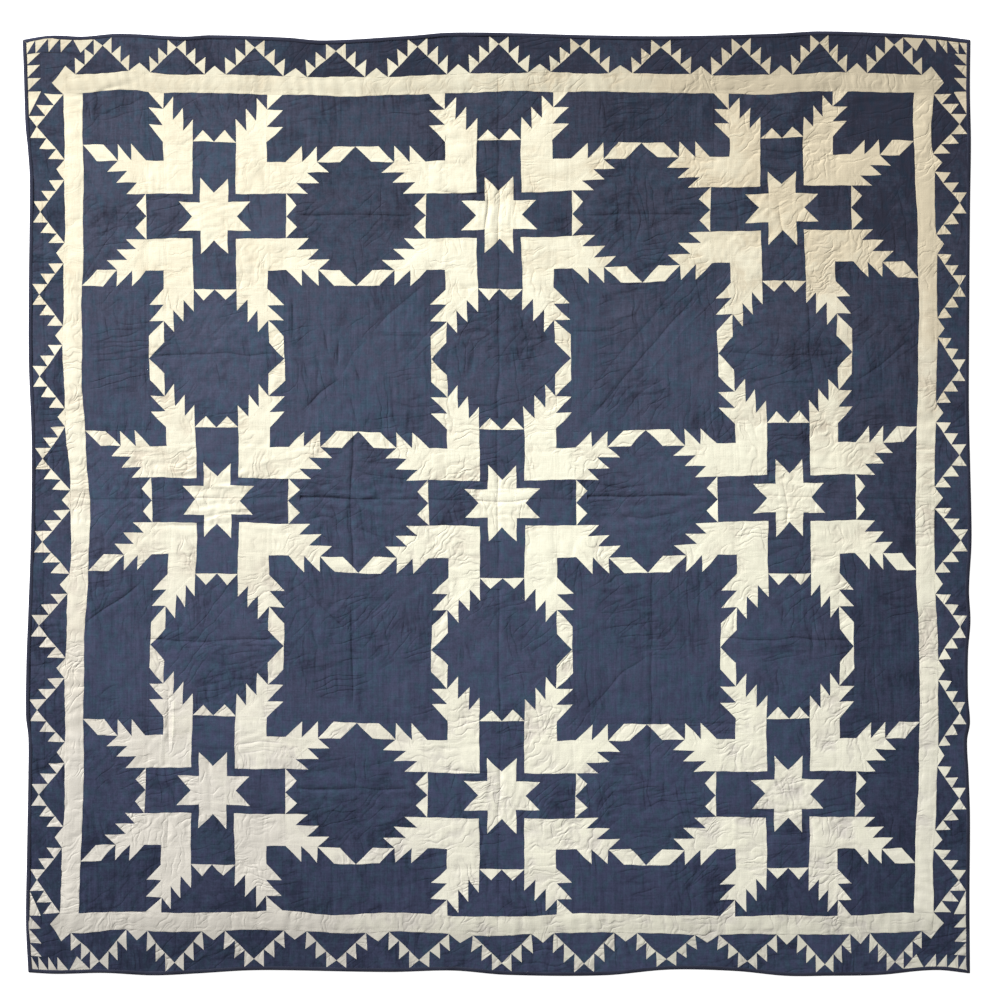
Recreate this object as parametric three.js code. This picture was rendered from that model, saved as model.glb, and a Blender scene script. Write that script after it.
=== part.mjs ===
import * as THREE from 'three';

// A pieced and quilted star blanket lying flat on a surface.
// Millimetres. +X is its right side, +Y its head, +Z up. The underside is the plane z = 0.

// Cut sizes of the patchwork
const featherSide = 33.3; // short side of the small feather triangles round each star
const crossArm = 154; // from a star's centre to the end of an arm of its cross
const starTip = 79; // from a star's centre to the tips of its points
const crossHalf = Math.SQRT2 * featherSide; // half the width of a cross arm
const elbow = crossHalf + 2 * featherSide; // outer side of the white arms
const featherEnd = crossArm + 2 * featherSide; // where the slanting feathers end
const halfPitch = crossArm + elbow + featherSide;
const pitch = 2 * halfPitch; // from one star to the next
const fieldHalfWidth = 1.5 * pitch;
const fieldHalfHeight = pitch + featherEnd + featherSide; // the field is cut off short at head and foot
const stripWidth = 39; // white strip round the field
const sawtoothWidth = 64; // sawtooth border, up to the rim
const rimWidth = 12; // the last of the border, under and beside the binding
const fieldStep = 40; // from the feathers' end to one more grid line in the plain fields

// Finished size, before the unevenness of the edges
const quiltHalfWidth = 990;
const quiltHalfHeight = 985;

// Heights of the quilted sheet above the surface
const seamHeight = 4.4; // where it is sewn through
const tongueBottom = 1.1; // the raw edge that the binding wraps
const tongueTop = 4.1;
const starCrown = 1.0; // how far each kind of patch stands above its seams
const armCrown = 1.2;
const whiteCrown = 1.5;
const fieldCrown = 1.7;
const stripCrown = 1.1;
const borderCrown = 0.9;
const lowestTop = 3.2; // no crease is deeper than this leaves

// Binding: one layer of folded cloth that wraps the edge, top and underside
const bindingWidth = 8;
const bindingSkin = 0.8;
const bindingHeight = 5.2;
const sewnGap = 0.3; // between the binding and the sheet, and between two bindings
const lipInset = bindingWidth + sewnGap;
const stepInset = lipInset + 2; // where the sheet is back at its full thickness

// How far each star sits from its cut place, to the right and towards the head
const starShifts = [
  { row: 'head', left: [5, 3], middle: [1, 6], right: [-7, 22] },
  { row: 'middle', left: [10, 10], middle: [8, 3], right: [9, 15] },
  { row: 'foot', left: [2, 3], middle: [7, -9], right: [6, -5] },
];

// How far the field's edge sits from its cut place: towards the head on head and foot, and to the
// right on left and right. A row stands for each bend, at a distance from the middle of its side
// that counts to the right on head and foot, and down to the foot on left and right.
const fieldEdges = {
  head: [
    { at: -903, shift: 8 }, { at: -787, shift: 15 }, { at: -720, shift: 9 }, { at: -602, shift: 8 },
    { at: -298, shift: 2 }, { at: -5, shift: 11 }, { at: 165, shift: 11 }, { at: 350, shift: 9 },
    { at: 565, shift: 6 }, { at: 705, shift: 12 }, { at: 903, shift: 8 },
  ],
  foot: [
    { at: -903, shift: -3 }, { at: -803, shift: 3 }, { at: -688, shift: -1 }, { at: -446, shift: 3 },
    { at: -334, shift: -5 }, { at: -216, shift: 0 }, { at: -40, shift: -9 }, { at: 186, shift: -2 },
    { at: 405, shift: -7 }, { at: 602, shift: -6 }, { at: 715, shift: -7 }, { at: 845, shift: -2 },
    { at: 903, shift: 0 },
  ],
  left: [
    { at: -856, shift: 30 }, { at: -602, shift: 32 }, { at: -340, shift: 28 }, { at: 0, shift: 31 },
    { at: 467, shift: 32 }, { at: 602, shift: 32 }, { at: 740, shift: 26 }, { at: 856, shift: 22 },
  ],
  right: [
    { at: -856, shift: -30 }, { at: -765, shift: -33 }, { at: -678, shift: -28 }, { at: -478, shift: -22 },
    { at: -341, shift: -21 }, { at: -9, shift: -27 }, { at: 173, shift: -26 }, { at: 264, shift: -21 },
    { at: 400, shift: -19 }, { at: 557, shift: -21 }, { at: 740, shift: -29 }, { at: 856, shift: -30 },
  ],
};

// Places where the cloth is pulled off its line by hand, fading out over the reach
const pulls = [{ name: 'left_edge', x: -865, y: -45, dx: 15, dy: 0, reach: 190 }];

// How far the finished quilt's outer edge swings out, a row for each bend, placed as above
const edgeSwings = {
  head: [
    { at: -990, shift: -9 }, { at: -940, shift: 0 }, { at: -877, shift: -2 }, { at: -798, shift: 4 },
    { at: -650, shift: -2 }, { at: -593, shift: 1 }, { at: -436, shift: -4 }, { at: -358, shift: -10 },
    { at: -176, shift: 0 }, { at: -108, shift: 6 }, { at: 0, shift: 6 }, { at: 180, shift: 1 },
    { at: 356, shift: -1 }, { at: 570, shift: 4 }, { at: 667, shift: 9 }, { at: 843, shift: 4 },
    { at: 925, shift: -1 }, { at: 990, shift: -9 },
  ],
  foot: [
    { at: -990, shift: -3 }, { at: -925, shift: 0 }, { at: -823, shift: -2 }, { at: -713, shift: 3 },
    { at: -618, shift: -1 }, { at: -522, shift: -7 }, { at: -459, shift: -8 }, { at: -226, shift: -4 },
    { at: -99, shift: -7 }, { at: 10, shift: 2 }, { at: 206, shift: 3 }, { at: 340, shift: -9 },
    { at: 475, shift: -6 }, { at: 580, shift: 4 }, { at: 671, shift: 4 }, { at: 798, shift: 2 },
    { at: 921, shift: -8 }, { at: 990, shift: -1 },
  ],
  left: [
    { at: -985, shift: 9 }, { at: -893, shift: 6 }, { at: -802, shift: 3 }, { at: -752, shift: -2 },
    { at: -688, shift: -6 }, { at: -461, shift: -4 }, { at: -297, shift: -4 }, { at: -128, shift: -10 },
    { at: 54, shift: -9 }, { at: 236, shift: -3 }, { at: 340, shift: 1 }, { at: 455, shift: 2 },
    { at: 500, shift: -3 }, { at: 577, shift: -3 }, { at: 751, shift: 0 }, { at: 887, shift: 2 },
    { at: 985, shift: -3 },
  ],
  right: [
    { at: -985, shift: 1 }, { at: -870, shift: 0 }, { at: -757, shift: 2 }, { at: -597, shift: 0 },
    { at: -297, shift: -2 }, { at: -174, shift: -2 }, { at: 40, shift: 3 }, { at: 100, shift: 3 },
    { at: 190, shift: -2 }, { at: 255, shift: 1 }, { at: 318, shift: -4 }, { at: 408, shift: -4 },
    { at: 463, shift: 0 }, { at: 500, shift: -6 }, { at: 568, shift: -3 }, { at: 659, shift: 0 },
    { at: 841, shift: -1 }, { at: 985, shift: 0 },
  ],
};

// Creases from being folded away and handled: soft troughs from one point to another
const creases = [
  { name: 'fold_down', fromX: 2, fromY: 930, toX: 4, toY: -930, depth: 1.2, reach: 26 },
  { name: 'fold_across', fromX: -930, fromY: 8, toX: 930, toY: 10, depth: 1.2, reach: 26 },
  { name: 'fold_down_left', fromX: -303, fromY: 160, toX: -303, toY: -430, depth: 0.9, reach: 26 },
  { name: 'fold_down_right', fromX: 322, fromY: -138, toX: 318, toY: -600, depth: 0.8, reach: 30 },
  { name: 'head_left_field', fromX: -430, fromY: 606, toX: -180, toY: 606, depth: 0.9, reach: 26 },
  { name: 'left_field', fromX: -725, fromY: 312, toX: -470, toY: 312, depth: 0.9, reach: 26 },
  { name: 'lower_left_field', fromX: -725, fromY: -285, toX: -470, toY: -285, depth: 0.9, reach: 30 },
  { name: 'lower_right_field', fromX: 480, fromY: -285, toX: 730, toY: -285, depth: 0.8, reach: 30 },
  { name: 'foot_left_field', fromX: -420, fromY: -597, toX: -190, toY: -597, depth: 0.8, reach: 26 },
  { name: 'square_left', fromX: -417, fromY: 188, toX: -123, toY: 482, depth: 0.8, reach: 34 },
  { name: 'square_right', fromX: 192, fromY: 177, toX: 423, toY: 450, depth: 0.8, reach: 34 },
  { name: 'left_border_high', fromX: -950, fromY: 640, toX: -950, toY: 50, depth: 0.8, reach: 20 },
  { name: 'left_border_low', fromX: -952, fromY: -35, toX: -952, toY: -620, depth: 0.8, reach: 20 },
];

// Worked out from the sizes above
const outerHalfU = fieldHalfWidth + stripWidth + sawtoothWidth + rimWidth;
const outerHalfV = fieldHalfHeight + stripWidth + sawtoothWidth + rimWidth;
const starLines = [-pitch, 0, pitch];
const knotsU = [-fieldHalfWidth, ...starLines, fieldHalfWidth];
const knotsV = [-fieldHalfHeight, ...starLines, fieldHalfHeight];

const indigoCloth = new THREE.MeshStandardMaterial({ color: '#475069', roughness: 0.92, metalness: 0 });
const bindingCloth = new THREE.MeshStandardMaterial({ color: '#272b3c', roughness: 0.9, metalness: 0 });

// A smooth curve through values at knots, with each knot's slope taken from its two neighbours
function smooth(knots, values, at) {
  const last = knots.length - 1;
  const t = THREE.MathUtils.clamp(at, knots[0], knots[last]);
  let k = 0;
  while (k < last - 1 && t > knots[k + 1]) k += 1;
  const slope = (i) => {
    const before = Math.max(i - 1, 0);
    const after = Math.min(i + 1, last);
    return (values[after] - values[before]) / (knots[after] - knots[before]);
  };
  const span = knots[k + 1] - knots[k];
  const f = (t - knots[k]) / span;
  const rise = f * f * (3 - 2 * f);
  const leave = f * (1 - f) * (1 - f) * span * slope(k);
  const arrive = f * f * (f - 1) * span * slope(k + 1);
  return values[k] * (1 - rise) + values[k + 1] * rise + leave + arrive;
}

function shiftAt(rows, at) {
  const places = rows.map((row) => row.at);
  const shifts = rows.map((row) => row.shift);
  return smooth(places, shifts, at);
}

// The cloth's shift to the right: from the left edge through the three columns of stars to the right edge
function shiftRight(u, v) {
  const columns = ['left', 'middle', 'right'].map((column) => {
    const fromFoot = starShifts.map((row) => row[column][0]).reverse();
    return smooth(starLines, fromFoot, v);
  });
  return smooth(knotsU, [shiftAt(fieldEdges.left, -v), ...columns, shiftAt(fieldEdges.right, -v)], u);
}

// The cloth's shift towards the head: from the foot through the three rows of stars to the head
function shiftUp(u, v) {
  const rows = starShifts.map((row) => {
    const fromLeft = [row.left[1], row.middle[1], row.right[1]];
    return smooth(starLines, fromLeft, u);
  });
  return smooth(knotsV, [shiftAt(fieldEdges.foot, u), ...rows.reverse(), shiftAt(fieldEdges.head, u)], v);
}

// Carries a plan distance beyond the field out over strip, sawtooth border and rim
function beyondField(fieldEdge, outline, distance) {
  const way = Math.sign(fieldEdge);
  const rimInner = outline - way * rimWidth;
  if (distance <= stripWidth) return fieldEdge + way * distance;
  if (distance <= stripWidth + sawtoothWidth) {
    const share = (distance - stripWidth) / sawtoothWidth;
    return THREE.MathUtils.lerp(fieldEdge + way * stripWidth, rimInner, share);
  }
  return rimInner + way * (distance - stripWidth - sawtoothWidth);
}

// From a place in the cutting plan to its place in the finished, uneven quilt
function place(u, v) {
  const fieldU = THREE.MathUtils.clamp(u, -fieldHalfWidth, fieldHalfWidth);
  const fieldV = THREE.MathUtils.clamp(v, -fieldHalfHeight, fieldHalfHeight);
  let x = fieldU + shiftRight(fieldU, fieldV);
  let y = fieldV + shiftUp(fieldU, fieldV);
  for (const pull of pulls) {
    const fade = Math.exp(-((fieldU - pull.x) ** 2 + (fieldV - pull.y) ** 2) / pull.reach ** 2);
    x += pull.dx * fade;
    y += pull.dy * fade;
  }
  if (Math.abs(u) > fieldHalfWidth) {
    const swings = u < 0 ? edgeSwings.left : edgeSwings.right;
    const down = (-v * quiltHalfHeight) / outerHalfV;
    const outline = Math.sign(u) * (quiltHalfWidth + shiftAt(swings, down));
    x = beyondField(x, outline, Math.abs(u) - fieldHalfWidth);
  }
  if (Math.abs(v) > fieldHalfHeight) {
    const swings = v < 0 ? edgeSwings.foot : edgeSwings.head;
    const right = (u * quiltHalfWidth) / outerHalfU;
    const outline = Math.sign(v) * (quiltHalfHeight + shiftAt(swings, right));
    y = beyondField(y, outline, Math.abs(v) - fieldHalfHeight);
  }
  return [x, y];
}

// How full a patch is: nothing on its seam, flat over its middle
function fullness(share) {
  const s = THREE.MathUtils.clamp(share, 0, 1);
  return 1 - s ** 4;
}

// Share of the way from the middle of a span to either end
function fromMiddle(value, low, high) {
  return Math.abs(2 * value - low - high) / (high - low);
}

// Distance from the nearest star along one axis of the plan
function toStar(position) {
  const star = pitch * THREE.MathUtils.clamp(Math.round(position / pitch), -1, 1);
  return Math.abs(position - star);
}

// Height of the patches' crowns above their seams at a place in the plan
function crownAt(u, v) {
  const beyond = Math.max(Math.abs(u) - fieldHalfWidth, Math.abs(v) - fieldHalfHeight);
  if (beyond > stripWidth) {
    return borderCrown * fullness(fromMiddle(beyond, stripWidth, stripWidth + sawtoothWidth));
  }
  if (beyond > 0) return stripCrown * fullness(fromMiddle(beyond, 0, stripWidth));
  const far = Math.max(toStar(u), toStar(v));
  const near = Math.min(toStar(u), toStar(v));
  if (near < crossHalf && far < starTip) return starCrown * fullness(far / starTip);
  if (near < crossHalf && far < crossArm) {
    return armCrown * fullness(Math.max(fromMiddle(far, starTip, crossArm), near / crossHalf));
  }
  if (far < crossArm) return whiteCrown * fullness(fromMiddle(near, crossHalf, elbow));
  const inSquare = near > elbow + featherSide;
  const slant = (halfPitch - far + near) / (halfPitch - crossArm + crossHalf);
  const reach = inSquare
    ? (halfPitch - near) / crossArm
    : Math.max((halfPitch - far) / (halfPitch - crossArm), near / (elbow + featherSide), slant);
  return fieldCrown * fullness(reach);
}

// Depth of all creases at a place on the quilt, each fading towards its two ends
function creaseAt(x, y) {
  let depth = 0;
  for (const crease of creases) {
    const runX = crease.toX - crease.fromX;
    const runY = crease.toY - crease.fromY;
    const length = Math.hypot(runX, runY);
    const along = ((x - crease.fromX) * runX + (y - crease.fromY) * runY) / length;
    const off = ((x - crease.fromX) * runY - (y - crease.fromY) * runX) / length;
    const past = Math.max(-along, along - length, 0);
    depth += crease.depth * Math.exp(-((off / crease.reach) ** 2) - (past / crease.reach) ** 2);
  }
  return depth;
}

function topHeight(u, v) {
  const inset = Math.min(outerHalfU - Math.abs(u), outerHalfV - Math.abs(v));
  if (inset < lipInset + sewnGap) return tongueTop;
  const [x, y] = place(u, v);
  return Math.max(seamHeight + crownAt(u, v) - creaseAt(x, y), lowestTop);
}

// Plan lines that follow the seams and the crowns between them, from one rim to the other
function planLines(fieldHalf, outerHalf) {
  const inStar = [0, crossHalf, starTip, elbow, crossArm, featherEnd, featherEnd + fieldStep, halfPitch];
  const lines = new Set();
  for (const star of [-pitch, 0, pitch]) {
    for (const offset of inStar) {
      for (const way of [-1, 1]) {
        const line = star + way * offset;
        if (Math.abs(line) < fieldHalf - 1) lines.add(Number(line.toFixed(4)));
      }
    }
  }
  const frameLines = [
    fieldHalf,
    fieldHalf + stripWidth / 2,
    fieldHalf + stripWidth,
    fieldHalf + stripWidth + sawtoothWidth / 3,
    fieldHalf + stripWidth + (2 * sawtoothWidth) / 3,
    outerHalf - stepInset,
    outerHalf - lipInset,
    outerHalf - bindingSkin - sewnGap,
  ];
  for (const line of frameLines) {
    lines.add(line);
    lines.add(-line);
  }
  return [...lines].sort((a, b) => a - b);
}
const linesU = planLines(fieldHalfWidth, outerHalfU);
const linesV = planLines(fieldHalfHeight, outerHalfV);
const rimLines = 2; // grid lines of the wrapped edge, on each side

function solid(name, positions, triangles, material) {
  const geometry = new THREE.BufferGeometry();
  geometry.setAttribute('position', new THREE.Float32BufferAttribute(positions, 3));
  geometry.setIndex(triangles);
  geometry.computeVertexNormals();
  const mesh = new THREE.Mesh(geometry, material);
  mesh.name = name;
  return mesh;
}

// The quilted sheet: a crowned top on the plan's grid, a wrapped edge and a flat underside
function quiltedCloth() {
  const countU = linesU.length;
  const countV = linesV.length;
  const positions = [];
  const triangles = [];
  const top = (i, j) => j * countU + i;
  for (const v of linesV) {
    for (const u of linesU) {
      positions.push(...place(u, v), topHeight(u, v));
    }
  }
  const height = (index) => positions[3 * index + 2];
  for (let j = 0; j < countV - 1; j += 1) {
    for (let i = 0; i < countU - 1; i += 1) {
      const a = top(i, j);
      const b = top(i + 1, j);
      const c = top(i + 1, j + 1);
      const d = top(i, j + 1);
      const alongAC = Math.abs(height(a) - height(c)) <= Math.abs(height(b) - height(d));
      if (alongAC) triangles.push(a, b, c, a, c, d);
      else triangles.push(a, b, d, b, c, d);
    }
  }

  // The underside repeats the outermost grid lines, raised at the wrapped edge, round a flat middle
  const under = new Map();
  const bottom = (i, j) => {
    const key = top(i, j);
    if (!under.has(key)) {
      const ring = Math.min(i, j, countU - 1 - i, countV - 1 - j);
      const z = ring < rimLines ? tongueBottom : 0;
      under.set(key, positions.length / 3);
      positions.push(...place(linesU[i], linesV[j]), z);
    }
    return under.get(key);
  };
  const inRim = (i, count) => i < rimLines || i >= count - 1 - rimLines;
  for (let j = 0; j < countV - 1; j += 1) {
    for (let i = 0; i < countU - 1; i += 1) {
      if (!inRim(i, countU) && !inRim(j, countV)) continue;
      const a = bottom(i, j);
      const b = bottom(i + 1, j);
      const c = bottom(i + 1, j + 1);
      const d = bottom(i, j + 1);
      triangles.push(a, c, b, a, d, c);
    }
  }
  const centre = positions.length / 3;
  positions.push(0, 0, 0);
  const flatLoop = gridLoop(rimLines, countU, countV).map(([i, j]) => bottom(i, j));
  flatLoop.forEach((from, k) => {
    const to = flatLoop[(k + 1) % flatLoop.length];
    triangles.push(from, centre, to);
  });

  // The raw edge itself, inside the binding's fold
  const edgeLoop = gridLoop(0, countU, countV);
  edgeLoop.forEach(([i, j], k) => {
    const [nextI, nextJ] = edgeLoop[(k + 1) % edgeLoop.length];
    const a = bottom(i, j);
    const b = bottom(nextI, nextJ);
    triangles.push(a, b, top(nextI, nextJ), a, top(nextI, nextJ), top(i, j));
  });
  return solid('quilted_cloth', positions, triangles, indigoCloth);
}

// Grid places round the sheet, a given number of lines in from its edge, anticlockwise from above
function gridLoop(ring, countU, countV) {
  const loop = [];
  const lastI = countU - 1 - ring;
  const lastJ = countV - 1 - ring;
  for (let i = ring; i < lastI; i += 1) loop.push([i, ring]);
  for (let j = ring; j < lastJ; j += 1) loop.push([lastI, j]);
  for (let i = lastI; i > ring; i -= 1) loop.push([i, lastJ]);
  for (let j = lastJ; j > ring; j -= 1) loop.push([ring, j]);
  return loop;
}

// One side's binding: a C-shaped fold carried along the wavy edge, with both ends cut to a mitre
function binding(name, side) {
  const insetAndHeight = [
    [0, 0],
    [0, bindingHeight],
    [bindingWidth, bindingHeight],
    [bindingWidth, bindingHeight - bindingSkin],
    [bindingSkin, bindingHeight - bindingSkin],
    [bindingSkin, bindingSkin],
    [bindingWidth, bindingSkin],
    [bindingWidth, 0],
  ];
  const alongU = side === 'head' || side === 'foot';
  const lines = alongU ? linesU : linesV;
  const outerAlong = alongU ? outerHalfU : outerHalfV;
  const outerAcross = alongU ? outerHalfV : outerHalfU;
  const way = side === 'head' || side === 'right' ? 1 : -1;
  const stations = lines.slice(rimLines, lines.length - rimLines);
  const count = insetAndHeight.length;
  const positions = [];
  const ring = (alongOf) => {
    for (const [inset, height] of insetAndHeight) {
      const across = way * (outerAcross - inset);
      const along = alongOf(inset);
      const [x, y] = alongU ? place(along, across) : place(across, along);
      positions.push(x, y, height);
    }
  };
  ring((inset) => -outerAlong + inset + sewnGap);
  for (const station of stations) ring(() => station);
  ring((inset) => outerAlong - inset - sewnGap);

  const rings = stations.length + 2;
  const flip = side === 'head' || side === 'left';
  const triangles = [];
  const facet = (a, b, c) => (flip ? triangles.push(a, c, b) : triangles.push(a, b, c));
  for (let r = 0; r < rings - 1; r += 1) {
    for (let k = 0; k < count; k += 1) {
      const next = (k + 1) % count;
      const a = r * count + k;
      const b = (r + 1) * count + k;
      const c = (r + 1) * count + next;
      const d = r * count + next;
      facet(a, b, c);
      facet(a, c, d);
    }
  }
  // Each mitred end is closed by the section's top flap, its outer wall and its bottom flap
  const lastRing = (rings - 1) * count;
  for (const [a, b, c, d] of [[1, 2, 3, 4], [0, 1, 4, 5], [0, 5, 6, 7]]) {
    facet(a, b, c);
    facet(a, c, d);
    facet(lastRing + a, lastRing + c, lastRing + b);
    facet(lastRing + a, lastRing + d, lastRing + c);
  }
  return solid(name, positions, triangles, bindingCloth);
}

const quilt = new THREE.Group();
quilt.add(quiltedCloth());
quilt.add(binding('binding_head', 'head'));
quilt.add(binding('binding_foot', 'foot'));
quilt.add(binding('binding_left', 'left'));
quilt.add(binding('binding_right', 'right'));

// The origin is under the middle of the finished quilt
const extent = new THREE.Box3().setFromObject(quilt);
const middle = extent.getCenter(new THREE.Vector3());
quilt.position.set(-middle.x, -middle.y, 0);

export default quilt;
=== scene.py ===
# Feathered star quilt in indigo and white cotton, laid out flat and seen from straight above.
import math

import bpy
import numpy as np
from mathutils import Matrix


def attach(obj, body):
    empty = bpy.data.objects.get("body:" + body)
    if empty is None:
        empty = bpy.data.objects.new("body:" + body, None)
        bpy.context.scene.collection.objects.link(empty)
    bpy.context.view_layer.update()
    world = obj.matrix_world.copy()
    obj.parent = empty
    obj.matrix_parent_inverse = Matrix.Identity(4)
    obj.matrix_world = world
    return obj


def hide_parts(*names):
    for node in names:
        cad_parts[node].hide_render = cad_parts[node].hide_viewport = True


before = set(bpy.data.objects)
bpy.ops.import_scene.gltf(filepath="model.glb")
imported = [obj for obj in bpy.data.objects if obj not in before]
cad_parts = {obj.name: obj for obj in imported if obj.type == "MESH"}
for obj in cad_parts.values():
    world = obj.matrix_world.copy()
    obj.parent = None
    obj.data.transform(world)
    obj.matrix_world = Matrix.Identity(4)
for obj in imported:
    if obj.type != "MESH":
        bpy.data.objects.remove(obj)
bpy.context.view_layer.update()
mm = 0.001
print("frame loaded", sorted(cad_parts))

# Where the camera stands: straight above, so that a millimetre is the same size all over the quilt
view = {
    "lens": 100.0,
    "sensor": 36.0,
    "framed": 2.1,  # width of what the picture takes in, at the cloth
    "farthest": 100.0,
    "aimX": 6.1 * mm,
    "aimY": 7.8 * mm,
}

room = {
    "floorHalf": 60.0,
    "floorTint": (0.93, 0.93, 0.93),
    "floorGlow": 0.75,  # keeps the ground plain white right to the picture's corners
    "skyTint": (1.0, 1.0, 1.0),
    "skyStrength": 0.28,
    "keyPlace": (-6.6, 6.2, 3.6),
    "keySize": 1.3,
    "keyPower": 2100.0,
    "fillPlace": (3.6, -3.0, 6.0),
    "fillSize": 3.5,
    "fillPower": 60.0,
}

# The cutting plan of the top, from a star's middle outwards and from the field's edge outwards
cut = {
    "featherSide": 33.3 * mm,
    "crossArm": 154 * mm,
    "starHeart": 30 * mm,
    "starNotch": 49 * mm,
    "starTip": 79 * mm,
    "stripWidth": 39 * mm,
    "sawtoothWidth": 64 * mm,
    "rimWidth": 12 * mm,
    "quiltHalfWidth": 990 * mm,
    "quiltHalfHeight": 985 * mm,
}

# How far each star's middle lies off the plan, to the right and towards the head, in millimetres,
# stars from the left
starShifts = {
    "head": [(5, 3), (1, 6), (-7, 22)],
    "middle": [(10, 10), (8, 3), (9, 15)],
    "foot": [(2, 3), (7, -9), (6, -5)],
}

# How far the field's edges lie off the plan, as (place along the edge, shift) in millimetres.
# Places count to the right on head and foot and down on left and right; shifts as for the stars.
fieldEdges = {
    "head": [(-903, 8), (-787, 15), (-720, 9), (-602, 8), (-298, 2), (-5, 11), (165, 11), (350, 9),
             (565, 6), (705, 12), (903, 8)],
    "foot": [(-903, -3), (-803, 3), (-688, -1), (-446, 3), (-334, -5), (-216, 0), (-40, -9), (186, -2),
             (405, -7), (602, -6), (715, -7), (845, -2), (903, 0)],
    "left": [(-856, 30), (-602, 32), (-340, 28), (0, 31), (467, 32), (602, 32), (740, 26), (856, 22)],
    "right": [(-856, -30), (-765, -33), (-678, -28), (-478, -22), (-341, -21), (-9, -27), (173, -26),
              (264, -21), (400, -19), (557, -21), (740, -29), (856, -30)],
}

# Where one seam is drawn in, by the middle of the left side
edgePull = {"u": -865 * mm, "v": -45 * mm, "dx": 15 * mm, "reach": 190 * mm}

# How far the outer edge swings outwards, with the same places
edgeSwings = {
    "head": [(-990, -9), (-940, 0), (-877, -2), (-798, 4), (-650, -2), (-593, 1), (-436, -4), (-358, -10),
             (-176, 0), (-108, 6), (0, 6), (180, 1), (356, -1), (570, 4), (667, 9), (843, 4), (925, -1),
             (990, -9)],
    "foot": [(-990, -3), (-925, 0), (-823, -2), (-713, 3), (-618, -1), (-522, -7), (-459, -8), (-226, -4),
             (-99, -7), (10, 2), (206, 3), (340, -9), (475, -6), (580, 4), (671, 4), (798, 2), (921, -8),
             (990, -1)],
    "left": [(-985, 9), (-893, 6), (-802, 3), (-752, -2), (-688, -6), (-461, -4), (-297, -4), (-128, -10),
             (54, -9), (236, -3), (340, 1), (455, 2), (500, -3), (577, -3), (751, 0), (887, 2), (985, -3)],
    "right": [(-985, 1), (-870, 0), (-757, 2), (-597, 0), (-297, -2), (-174, -2), (40, 3), (100, 3),
              (190, -2), (255, 1), (318, -4), (408, -4), (463, 0), (500, -6), (568, -3), (659, 0),
              (841, -1), (985, 0)],
}

featherSide = cut["featherSide"]
crossArm = cut["crossArm"]
crossHalf = math.sqrt(2) * featherSide
elbow = crossHalf + 2 * featherSide
squareStart = elbow + featherSide
featherEnd = crossArm + 2 * featherSide
halfPitch = crossArm + elbow + featherSide
pitch = 2 * halfPitch
fieldU = 1.5 * pitch
fieldV = pitch + featherEnd + featherSide
frameWidth = cut["stripWidth"] + cut["sawtoothWidth"] + cut["rimWidth"]
outerU = fieldU + frameWidth
outerV = fieldV + frameWidth


# Cubic through values at knots; its slope at a knot is that between the two neighbours
def smoothCurve(knots, values, at):
    knots = np.asarray(knots, float)
    values = np.asarray(values, float)
    last = len(knots) - 1
    column = np.zeros(at.shape, int) if values.ndim == 1 else np.arange(at.size)
    values = values.reshape(last + 1, -1)
    before = np.maximum(np.arange(last + 1) - 1, 0)
    after = np.minimum(np.arange(last + 1) + 1, last)
    slope = (values[after] - values[before]) / (knots[after] - knots[before])[:, None]
    at = np.clip(at, knots[0], knots[last])
    k = np.clip(np.searchsorted(knots, at, side="right") - 1, 0, last - 1)
    span = knots[k + 1] - knots[k]
    f = (at - knots[k]) / span
    rise = f * f * (3 - 2 * f)
    leave = f * (1 - f) ** 2 * span * slope[k, column]
    arrive = f * f * (f - 1) * span * slope[k + 1, column]
    return values[k, column] * (1 - rise) + values[k + 1, column] * rise + leave + arrive


starLines = [-pitch, 0, pitch]
rowsUp = ("foot", "middle", "head")
fieldLinesU = [-fieldU, *starLines, fieldU]
fieldLinesV = [-fieldV, *starLines, fieldV]


def shiftAt(rows, at):
    places, shifts = np.array(rows, float).T * mm
    return smoothCurve(places, shifts, at)


# The shift to the right: a curve across, through both field edges and the three columns of stars
def shiftRight(u, v):
    columns = [smoothCurve(starLines, [starShifts[row][k][0] * mm for row in rowsUp], v) for k in range(3)]
    left, right = shiftAt(fieldEdges["left"], -v), shiftAt(fieldEdges["right"], -v)
    return smoothCurve(fieldLinesU, np.stack([left, *columns, right]), u)


# The shift towards the head: a curve upwards, through both field edges and the three rows of stars
def shiftUp(u, v):
    rows = [smoothCurve(starLines, [star[1] * mm for star in starShifts[row]], u) for row in rowsUp]
    foot, head = shiftAt(fieldEdges["foot"], u), shiftAt(fieldEdges["head"], u)
    return smoothCurve(fieldLinesV, np.stack([foot, *rows, head]), v)


# Carries a plan distance past the field over the strip, the sawtooth border and the rim
def beyondField(edge, outline, distance):
    way = np.sign(outline)
    rimInner = outline - way * cut["rimWidth"]
    pastStrip = distance - cut["stripWidth"]
    pastTeeth = pastStrip - cut["sawtoothWidth"]
    share = pastStrip / cut["sawtoothWidth"]
    onTeeth = (edge + way * cut["stripWidth"]) * (1 - share) + rimInner * share
    past = np.where(pastTeeth <= 0, onTeeth, rimInner + way * pastTeeth)
    return np.where(pastStrip <= 0, edge + way * distance, past)


# The seams' small unevenness as a few slow waves of the plan: (turn a metre of u, of v, phase, share)
seamWaves = {
    "right": [(61, 37, 0.4, 1.0), (-91, 34, 2.1, 0.8), (19, 143, 0.0, 0.5)],
    "headwards": [(-29, 67, 1.3, 1.0), (43, 83, 4.0, 0.8), (151, -23, 0.0, 0.5)],
}
seamSway = {"height": 0.75 * mm, "still": 14 * mm, "fade": 30 * mm}


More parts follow.
